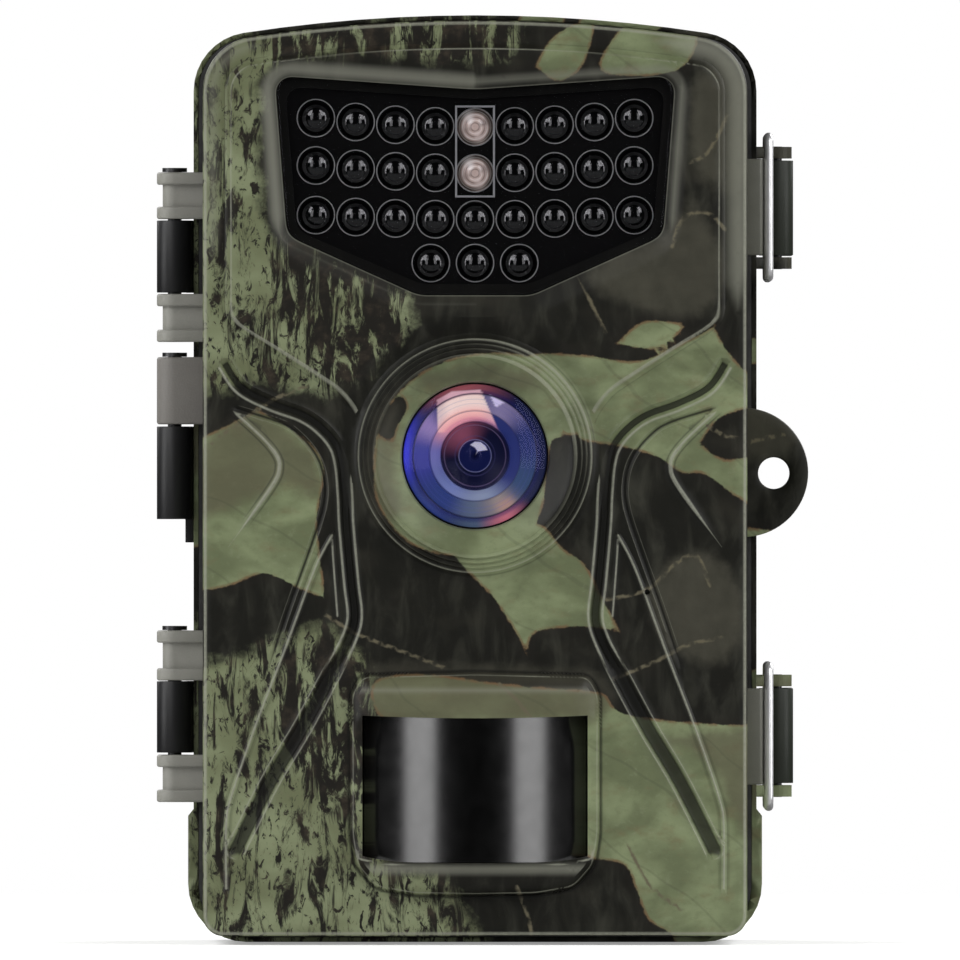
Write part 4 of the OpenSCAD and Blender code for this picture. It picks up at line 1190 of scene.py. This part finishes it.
def rear_shell():
    obj = from_cad("rear_shell", "rear_shell_camouflaged", "rear", "camo_rear", 0.3, 2.2)
    points = mesh_points(obj)
    paint(obj, spread(points, PART_Y, (3, -6)))
    # only the outside is printed
    outline = case_outline(REAR_HALF_W, rear_low[2], rear_high[2], 3, 9, 224)
    bare = (depth_inside(points[:, (0, 2)], outline) > 1.3) & (points[:, 1] < points[:, 1].max() - 1)
    store_number(obj, "gap", np.where(bare, 0.0, FAR))


# ---- lamps ---------------------------------------------------------------------------

LED_PITCH = 5.76
LED_R = 2.5
LED_ROWS = [(118.4, 0.08), (111.7, 0.07), (105.0, 0.04)]  # height, and how fast the ends rise
SHORT_ROW = (98.7, 6.4)                                   # height and pitch
CLEAR_Z = {"light_sensor": 118.4, "status_led": 111.7}
LED_FOOT_Y = INNER_Y + 8.5
LED_DOME = 6.1                                            # where a lamp's dome begins, from its foot


def lamp_places():
    places = [(k * LED_PITCH, z + bend * k * k) for z, bend in LED_ROWS
              for k in range(-4, 5) if k != 0 or z not in CLEAR_Z.values()]
    return places + [(k * SHORT_ROW[1], SHORT_ROW[0]) for k in (-1, 0, 1)]


def reflector_colours(points, z):
    """The stepped reflector cup that shows through a clear lamp, as rings of painted reflection."""
    r = np.hypot(points[:, 0], points[:, 2] - z)
    a = np.degrees(np.arctan2(points[:, 2] - z, points[:, 0]))
    cup = np.tile((0.52, 0.40, 0.36), (len(r), 1))
    cup = blend(cup, ease((r - 1.95) / 0.3), (0.10, 0.08, 0.07))
    for ring_r, width, colour in ((2.3, 0.12, (0.55, 0.50, 0.46)), (1.8, 0.14, (0.90, 0.82, 0.78)),
                                  (1.4, 0.13, (0.10, 0.06, 0.05)), (1.0, 0.13, (0.90, 0.78, 0.72)),
                                  (0.6, 0.12, (0.08, 0.04, 0.03))):
        cup = blend(cup, (1 - ease(np.abs(r - ring_r) / width)) * 0.85, colour)
    # painted highlights and painted shade on the cup, by direction round the lamp's axis
    for turn, colour in ((120, (0.95, 0.90, 0.88)), (25, (0.16, 0.12, 0.11)), (-70, (0.75, 0.62, 0.58)),
                         (200, (0.24, 0.18, 0.16))):
        cup = blend(cup, toward(np.radians(a), turn, 38) * ease((r - 0.5) / 0.4) * 0.55, colour)
    return cup


def lamp_body(x, z, steps=14):
    """Round-nosed lamp: flange, barrel and dome."""
    dome = [(LED_R * math.cos(math.radians(a)), -LED_DOME - LED_R * math.sin(math.radians(a)))
            for a in np.linspace(0, 90, steps + 1)[:-1]]
    profile = [(0, 0), (LED_R + 0.3, 0), (LED_R + 0.3, -0.9), (LED_R + 0.2, -1), (LED_R, -1)]
    return turned(profile + dome + [(0, -LED_DOME - LED_R)], (x, LED_FOOT_Y, z), 40)


def lamps():
    verts, faces = joined([lamp_body(x, z) for x, z in lamp_places()])
    new_piece("infrared_lamps", verts, faces, "door", "lamp", ("ir_leds",), 50)
    for node, z in CLEAR_Z.items():
        verts, faces = lamp_body(0, z, 44)
        obj = new_piece(node + "_clear", verts, faces, "door", "clear_lamp", (node,), 50)
        store_tint(obj, reflector_colours(mesh_points(obj), z))


def lamp_rims():
    """Thin turned rims of the holder's holes, pale grey: a painted highlight where the holes' edges catch the
    light.
    """
    profile = [(2.62, 0.9), (2.62, 0.05), (2.68, -0.08), (2.78, -0.08), (2.84, 0.05), (2.84, 0.9)]
    places = lamp_places() + [(0, z) for z in CLEAR_Z.values()]
    verts, faces = joined([turned(profile, (x, INNER_Y + 0.15, z), 40) for x, z in places])
    new_piece("lamp_rims", verts, faces, "door", "rim")


def lamp_window():
    """Flat dark pane that fills the recess."""
    verts, faces = [], []
    rows = [(0.8, FACE_Y), (0.35, FACE_Y), (0.12, FACE_Y + 0.1), (0.03, FACE_Y + 0.3), (0.03, FACE_Y + 1.0),
            (0.8, FACE_Y + 1.0)]
    loops = [shield(d) for d, _ in rows]
    n = len(loops[0])
    for loop, (_, y) in zip(loops, rows):
        verts += [(x, y, z) for x, z in loop]
    for k in range(len(rows) - 1):
        bridge(faces, k * n, (k + 1) * n, n)
    faces.append(tuple(range(n)))
    faces.append(tuple(range((len(rows) - 1) * n, len(rows) * n)))
    new_piece("lamp_window_pane", verts, faces, "door", "window", ("ir_window",), 30)


# ---- lens ----------------------------------------------------------------------------

def store_tint(obj, colours):
    layer = obj.data.attributes.new("tint", "FLOAT_COLOR", "POINT")
    flat = np.concatenate([np.asarray(colours, float), np.ones((len(colours), 1))], axis=1)
    layer.data.foreach_set("color", flat.astype(np.float32).ravel())


def toward(angle, centre, width):
    """1 in the direction centre, falling to 0 at width degrees from it."""
    off = np.abs((np.degrees(angle) - centre + 180) % 360 - 180)
    return ease(1 - off / width)


def blend(colours, share, other):
    return colours * (1 - share[:, None]) + np.array(other) * share[:, None]


# radius, colour, strength and half width of the fine rings between the barrel's steps
LENS_LINES = [
    (4.45, (0.20, 0.15, 0.26), 0.55, 0.09), (2.35, (0.26, 0.28, 0.46), 0.75, 0.09),
    (4.9, (0.004, 0.004, 0.030), 0.9, 0.12), (6.52, (0.010, 0.012, 0.060), 0.85, 0.10),
    (2.9, (0.05, 0.05, 0.12), 0.6, 0.10), (9.0, (0.002, 0.003, 0.020), 0.95, 0.22),
    (7.6, (0.05, 0.06, 0.24), 0.3, 0.08), (8.2, (0.05, 0.06, 0.24), 0.3, 0.08),
]


def lens_colours(points):
    """Colours of the stepped barrel by radius and direction from the axis: dark coating tones under painted
    coloured reflections and painted highlights.
    """
    x, z = points[:, 0], points[:, 2] - LENS_Z
    flat = np.stack([x, z], axis=1)
    r, a = np.hypot(x, z), np.arctan2(z, x)

    def around(base, *tints):
        colours = np.tile(base, (len(r), 1))
        for centre, width, tint in tints:
            colours = blend(colours, toward(a, centre, width), tint)
        return colours

    # tints by direction round the axis: painted coloured reflections in the coatings
    rim = around((0.004, 0.007, 0.030), (180, 48, (0.030, 0.034, 0.420)), (-135, 48, (0.012, 0.026, 0.120)),
                 (-88, 34, (0.042, 0.066, 0.100)), (-64, 26, (0.340, 0.100, 0.120)),
                 (100, 50, (0.230, 0.060, 0.066)))
    rim = blend(rim, ease((9.8 - r) / 0.5) * 0.55, (0.003, 0.006, 0.060))
    band = around((0.010, 0.019, 0.085), (180, 58, (0.026, 0.030, 0.175)), (-125, 50, (0.012, 0.026, 0.105)),
                  (-90, 34, (0.062, 0.084, 0.120)), (-58, 36, (0.200, 0.170, 0.140)),
                  (-28, 40, (0.022, 0.045, 0.095)), (62, 40, (0.150, 0.130, 0.220)),
                  (148, 26, (0.190, 0.140, 0.280)))
    band = blend(band, toward(a, -58, 15) * ease((r - 6.9) / 1.4), (0.270, 0.170, 0.130))
    ring = around((0.012, 0.020, 0.095), (180, 60, (0.100, 0.100, 0.255)), (-120, 75, (0.095, 0.125, 0.255)),
                  (-80, 50, (0.150, 0.185, 0.245)), (122, 54, (0.640, 0.290, 0.300)))
    well = around((0.002, 0.003, 0.016), (122, 70, (0.170, 0.045, 0.070)))
    well = blend(well, ease((2.45 - r) / 0.3), (0.012, 0.018, 0.085))
    well = blend(well, ease((0.75 - r) / 0.2), (0.003, 0.004, 0.020))
    tone = np.select([(r > low)[:, None] for low in (9.0, 6.55, 5.0)], [rim, band, ring], well)

    # bright reflection of a studio window, cut off by straight edges
    pane = np.array([(-5.4, 3.4), (-5.5, 8.1), (-3.4, 9.3), (0.8, 9.6), (3.6, 3.2)])
    share = ease(depth_inside(flat, pane) / 0.25 + 0.5) * ease((r - 4.7) / 0.9)
    share = share * (1 - 0.3 * ease((-3.4 - x) / 2))
    glare = blend(np.tile((0.54, 0.19, 0.22), (len(r), 1)), ease((r - 5.1) / 1.2), (0.660, 0.370, 0.320))
    glare = blend(glare, ease((r - 6.2) / 1.6), (0.690, 0.550, 0.460))
    glare = blend(glare, ease((r - 8.6) / 0.5), (0.520, 0.310, 0.330))
    glare = blend(glare, ease((x - 0.2) / 3) * 0.35, (0.250, 0.230, 0.330))
    tone = tone * (1 - share[:, None]) + glare * share[:, None]
    # painted highlights: a pale facet up to the right and a white fan near the middle
    facet = np.array([(2.1, 8.9), (4.2, 7.7), (3.0, 7.0)])
    tone = blend(tone, ease(depth_inside(flat, facet) / 0.2 + 0.5) * 0.85, (0.520, 0.480, 0.620))
    fan = np.array([(-0.7, 1.6), (0, 2.05), (0.8, 2.0), (1.5, 1.45), (1.8, 0.85), (1.0, 0.75), (0.4, 0.65),
                    (0, 1.2)])
    tone = blend(tone, ease(depth_inside(flat, fan) / 0.2 + 0.5), (1.000, 1.000, 1.050))

    for line_r, colour, share, half in LENS_LINES:
        tone = blend(tone, (1 - ease(np.abs(r - line_r) / half)) * share, colour)
    return tone


def lens():
    centre = (0, INNER_Y + 0.1, LENS_Z)
    # stepped barrel: flats joined by short cones, with a fine ring every quarter millimetre
    steps = [(10.35, 0), (10.1, 0.05), (8.95, 0.6), (8.85, 1.1), (6.75, 1.6), (6.65, 2.0), (5.15, 2.5),
             (5.05, 3.0), (4.5, 3.3), (4.4, 3.7), (2.5, 4.6), (2.35, 5.0), (0.9, 5.3), (0.8, 5.5)]
    profile = []
    for (r0, t0), (r1, t1) in zip(steps, steps[1:]):
        n = max(1, round((r0 - r1) / 0.09))
        profile += line((r0, t0), (r1, t1), n)
    barrel_end = mm_box("lens_barrel")[1][1] - centre[1]
    profile += [(0.8, 5.5), (0, 5.5), (0, barrel_end), (8, barrel_end), (8, 6.6), (10.35, 6.4)]
    verts, faces = turned(profile, centre, 180)
    obj = new_piece("lens_rings_painted_reflections", verts, faces, "door", "lens_inside", ("lens_barrel",))
    store_tint(obj, lens_colours(mesh_points(obj)))

    sag = 1.6
    ball = (GLASS_R ** 2 + sag ** 2) / (2 * sag)
    front = [(r, ball - math.sqrt(ball ** 2 - r * r)) for r in np.linspace(0, GLASS_R - 0.15, 24)]
    profile = [(r, t - 0.4) for r, t in front]
    edge_t = profile[-1][1]
    profile += [(GLASS_R, edge_t + 0.2), (GLASS_R, 2.1)]
    back = [(r, 2.1 - 1.1 * (1 - (r / (GLASS_R - 0.4)) ** 2)) for r in np.linspace(GLASS_R - 0.4, 0, 14)]
    verts, faces = turned(profile + back, (0, FACE_Y, LENS_Z), 128)
    new_piece("lens_front_element", verts, faces, "door", "front_glass",
              ("lens_glass",), 30)

    # small inner element of clear glass; the fan-shaped highlight behind it is painted on the barrel's rings
    ball = [(2.2 * math.sin(t), -1.5 * math.cos(t)) for t in np.linspace(0, math.pi / 2, 16)]
    verts, faces = turned(ball + [(0, 0)], (0, INNER_Y + 4.9, LENS_Z), 48)
    new_piece("lens_inner_element", verts, faces, "door", "optic")


# ---- motion sensor window ------------------------------------------------------------

def sensor_window():
    """Sheet of even thickness, bent round an upright axis behind it."""
    radius, thick, n = 31.0, 1.2, 72
    cy = pir_low[1] + radius
    half = math.degrees(math.asin(PIR_HALF_W / radius))
    angles = [math.radians(270 - half + 2 * half * i / n) for i in range(n + 1)]
    front = [(radius * math.cos(a), cy + radius * math.sin(a)) for a in angles]
    back = [((radius - thick) * math.cos(a), cy + (radius - thick) * math.sin(a)) for a in reversed(angles)]
    verts, faces = prism(front + back, pir_low[2], pir_high[2], 0)
    new_piece("sensor_window_curved", verts, faces, "door", "pir", ("pir_lens",), 20)


# ---- latches -------------------------------------------------------------------------

def bail_path(zc):
    """Wire from one lever end, round the front bar, to the other, with bent corners."""
    x, back, front, arm, end = REAR_HALF_W + 1.7, PART_Y + 16, PART_Y - 8, 10.15, 5.4
    bend = 1.6
    corners = [(back, zc - arm), (front, zc - arm), (front, zc + arm), (back, zc + arm)]
    path = [(x, back, zc - end)]
    for i, (y, z) in enumerate(corners):
        y0, z0 = corners[i - 1] if i else (back, zc - end)
        y1, z1 = corners[i + 1] if i < 3 else (back, zc + end)
        before = Vector((0, y0 - y, z0 - z)).normalized() * bend
        after = Vector((0, y1 - y, z1 - z)).normalized() * bend
        corner = Vector((x, y, z))
        for k in range(7):
            t = k / 6
            path.append(tuple(corner + (1 - t) ** 2 * before + t * t * after))
    return path + [(x, back, zc + end)]


def latches():
    for side, zc in LATCH_Z.items():
        verts, faces = tube(bail_path(zc), 0.7, 16)
        new_piece(f"wire_bail_{side}_bent", verts, faces, f"bail_{side}", "steel",
                  (f"wire_bail_{side}",), 60)
        from_cad(f"latch_lever_{side}", f"latch_lever_{side}_grip", f"lever_{side}", "latch",
                 0.35)


# ---- batteries -----------------------------------------------------------------------

CELL_R = 7.25
CELL_LENGTH = 50.5
CELL_Y = 1.2
CELL_PITCH = 15
BAY_H = 54.8


def bays():
    """Place across, middle height and way up of each of the eight cells."""
    for row, low in enumerate((12.5, 68.9)):
        for column in range(4):
            yield (column - 1.5) * CELL_PITCH, low + BAY_H / 2, (-1) ** (column + row)


def cells():
    parts, tints = [], []
    profile = [(0, 0), (5.4, 0), (5.6, 0.25), (6.6, 0.25), (CELL_R - 0.25, 0.1), (CELL_R, 0.4)]
    profile += [(CELL_R, t) for t in np.linspace(1.5, CELL_LENGTH - 3, 40)]
    shoulder = [(CELL_R, 2.1), (CELL_R - 0.3, 1.7), (CELL_R - 1.2, 1.6), (2.9, 1.5), (2.75, 1.4), (2.75, 0.3),
                (2.5, 0), (0, 0)]
    profile += [(r, CELL_LENGTH - t) for r, t in shoulder]
    for x, middle, up in bays():
        zc = middle + up * 1.55
        stood = [(r, up * (t - CELL_LENGTH / 2)) for r, t in profile]
        parts.append(turned(stood, (x, CELL_Y, zc), 40, "z"))
        tints += [cell_tint(up * (z - zc) / CELL_LENGTH + 0.5) for _, _, z in parts[-1][0]]
    verts, faces = joined(parts)
    obj = new_piece("battery_cells_jacketed", verts, faces, "rear", "cell",
                    ("battery_cells",), 40)
    store_tint(obj, tints)


def cell_tint(along):
    """Jacket bands: steel ends, a dark green body and a copper shoulder."""
    if along < 0.012 or along > 0.962:
        return (0.55, 0.54, 0.52)
    if along > 0.74:
        return (0.42, 0.20, 0.075)
    if along > 0.72:
        return (0.60, 0.60, 0.58)
    return (0.012, 0.050, 0.032)


def springs():
    parts = []
    for x, middle, up in bays():
        z = middle - up * (BAY_H / 2 - 3.7)
        path = []
        for t in np.linspace(0, 1, 71):
            r = 1.7 + 1.9 * t
            a = math.radians(360 * 3.2 * t)
            path.append((x + r * math.cos(a), CELL_Y + r * math.sin(a), z - up * (0.4 + 2.5 * t)))
        parts.append(tube(path, 0.3, 8))
    verts, faces = joined(parts)
    new_piece("battery_springs_wound", verts, faces, "rear", "plate",
              ("battery_springs",), 60)


# ---- carried-over parts --------------------------------------------------------------

def key_marks():
    """Raised generic arrows, a dot and a ring on the keys, which ride with them."""
    for name, turn in (("up", 90), ("down", 270), ("left", 180), ("right", 0), ("ok", None), ("menu", None)):
        low, high = mm_box(f"button_{name}")
        cx, cz = (low[0] + high[0]) / 2, (low[2] + high[2]) / 2
        if turn is None:
            inner, outer = (0.0, 0.9) if name == "ok" else (0.7, 1.2)
            profile = [(inner, 0), (inner, 0.17), (outer, 0.17), (outer, 0)]
            verts, faces = turned(profile, (cx, high[1] - 0.05, cz), 32)
        else:
            c, s = math.cos(math.radians(turn)), math.sin(math.radians(turn))
            arrow = [(1.3, 0), (-0.8, 1.2), (-0.8, -1.2)]
            outline = [(cx + p * c - q * s, cz + p * s + q * c) for p, q in arrow]
            verts, faces = prism(outline, high[1] - 0.05, high[1] + 0.12, 0.08, "y")
        new_piece(f"key_mark_{name}", verts, faces, f"key_{name}", "print")


def carried_over():
    repaint("seal", "door_seal")
    repaint("plate", "battery_contacts", "bracket_screws", "panel_screws", "pir_sensor", "microphone",
            "sd_socket", "usb_port")
    repaint("gunmetal", "hinge_pins", "latch_pins")
    repaint("gold", "power_contact_pads", "power_contact_pins")
    repaint("brass", "tripod_insert")
    repaint("socket", "dc_jack", "pir_holder", "mode_switch_body")
    repaint("black", "led_holder", "lens_holder")
    repaint("board", "led_board", "sensor_board", "main_board", "keypad_board")
    repaint("chip", "board_chips", "image_sensor")
    repaint("optic", "lens_elements", "ir_cut_filter")
    repaint("screen", "lcd_module")
    repaint("screen_cover", "lcd_window")
    repaint("print", "sensor_frame")
    repaint("card", "sd_card")
    repaint("switch", "mode_switch_knob")
    from_cad("hinge_barrels", "hinge_barrels_rounded", "rear", "barrel", 0.25)
    from_cad("battery_tray", "battery_tray_rounded", "rear", "tray", 0.25)
    from_cad("tree_bracket", "tree_bracket_rounded", "rear", "bracket", 0.3)
    from_cad("inner_panel", "inner_panel_rounded", "door", "panel", 0.15)
    from_cad("dc_plug", "dc_plug_rounded", "plug", "plug", 0.3)
    for key in ("ok", "up", "down", "left", "right", "menu"):
        from_cad(f"button_{key}", f"button_{key}_rounded", f"key_{key}", "key", 0.2)
    key_marks()


# ---- stage, light and camera ---------------------------------------------------------

def stage():
    """Pale paper that fades out into the white surroundings."""
    s = Shader("floor_paper")
    place = s.position()
    fine = s.noise(place, 0.02, 4, 0.6)
    paper = s.node("BsdfDiffuse", {"Color": s.mix(fine, (0.86, 0.86, 0.86), (0.90, 0.90, 0.90))}).outputs[0]
    away = s.node("VectorMath", {0: place}, operation="LENGTH").outputs["Value"]
    gone = s.step(away, 150, 600)
    clear = s.node("BsdfTransparent").outputs[0]
    glow = s.node("Emission", {"Color": (1, 1, 1, 1), "Strength": 0.3}).outputs[0]
    lit = s.node("AddShader", {0: paper, 1: glow}).outputs[0]
    s.put(s.output.inputs["Surface"], s.node("MixShader", {0: gone, 1: lit, 2: clear}).outputs[0])
    mesh = bpy.data.meshes.new("floor")
    mesh.from_pydata([(x, y, 0) for x, y in circle(0, 0, 0.62, 96)], [], [tuple(range(96))])
    mesh.materials.append(s.material)
    floor = bpy.data.objects.new("floor", mesh)
    bpy.context.collection.objects.link(floor)
    floor.visible_glossy = False


# name, azimuth, elevation, distance, size and radiance of the lights that stand in pairs;
# the strips draw the two upright highlights on the sensor window and the lamps
SOFTBOXES = [
    ("strip", 29, 15, 1.2, (0.36, 0.9), 2.2),
    ("key", 50, 36, 1.2, (0.6, 0.75), 4.2),
    ("side", 74, 12, 1.4, (0.5, 1.2), 5.0),
    ("back", 140, 30, 1.5, (0.7, 1.0), 5.0),
]


AIM = Vector((0, 0, 0.068))                # the object's middle, which the lights face
CAMERA_AWAY = 5.0                          # metres in front of the face, so that nothing converges
CAMERA_X, CAMERA_Z = 0.00072, 0.0673
FOCAL_LENGTH, SENSOR_WIDTH = 1296, 36      # millimetres


def softbox(name, azimuth, elevation, distance, size, radiance):
    """Area light that faces the object. Azimuth 0 is in front of it, 90 to its right."""
    a, e = math.radians(azimuth), math.radians(elevation)
    out = Vector((math.sin(a) * math.cos(e), -math.cos(a) * math.cos(e), math.sin(e)))
    lamp = bpy.data.lights.new(name, "AREA")
    lamp.shape = "RECTANGLE"
    lamp.size, lamp.size_y = size
    lamp.energy = radiance * math.pi * size[0] * size[1]
    obj = bpy.data.objects.new(name, lamp)
    obj.location = AIM + out * distance
    obj.rotation_euler = (-out).to_track_quat("-Z", "Y").to_euler()
    obj.visible_camera = False
    bpy.context.collection.objects.link(obj)


def lights():
    world = bpy.data.worlds.new("studio")
    bpy.context.scene.world = world
    world.use_nodes = True
    sky = world.node_tree.nodes["Background"]
    sky.inputs["Color"].default_value = (1, 1, 1, 1)
    sky.inputs["Strength"].default_value = 1.0
    world.cycles_visibility.glossy = False
    world.cycles_visibility.diffuse = False
    for name, azimuth, *rest in SOFTBOXES:
        softbox(name + "_left", -azimuth, *rest)
        softbox(name + "_right", azimuth, *rest)
    # grey light from below that the lamps' domes mirror
    softbox("lap", 0, -40, 0.8, (2.4, 0.85), 0.3)


def camera():
    lens = bpy.data.cameras.new("camera")
    lens.sensor_width = SENSOR_WIDTH
    lens.lens = FOCAL_LENGTH
    lens.clip_end = 50
    obj = bpy.data.objects.new("camera", lens)
    obj.location = (CAMERA_X, FACE_Y * MM - CAMERA_AWAY, CAMERA_Z)
    obj.rotation_euler = (math.radians(90), 0, 0)
    bpy.context.collection.objects.link(obj)
    bpy.context.scene.camera = obj
    bpy.context.scene.view_settings.view_transform = "Standard"


camera()
lights()
stage()
front_shell()
hinge_ears()
latch_catches()
padlock_tab()
rear_shell()
lamps()
lamp_rims()
lamp_window()
lens()
sensor_window()
latches()
cells()
springs()
carried_over()
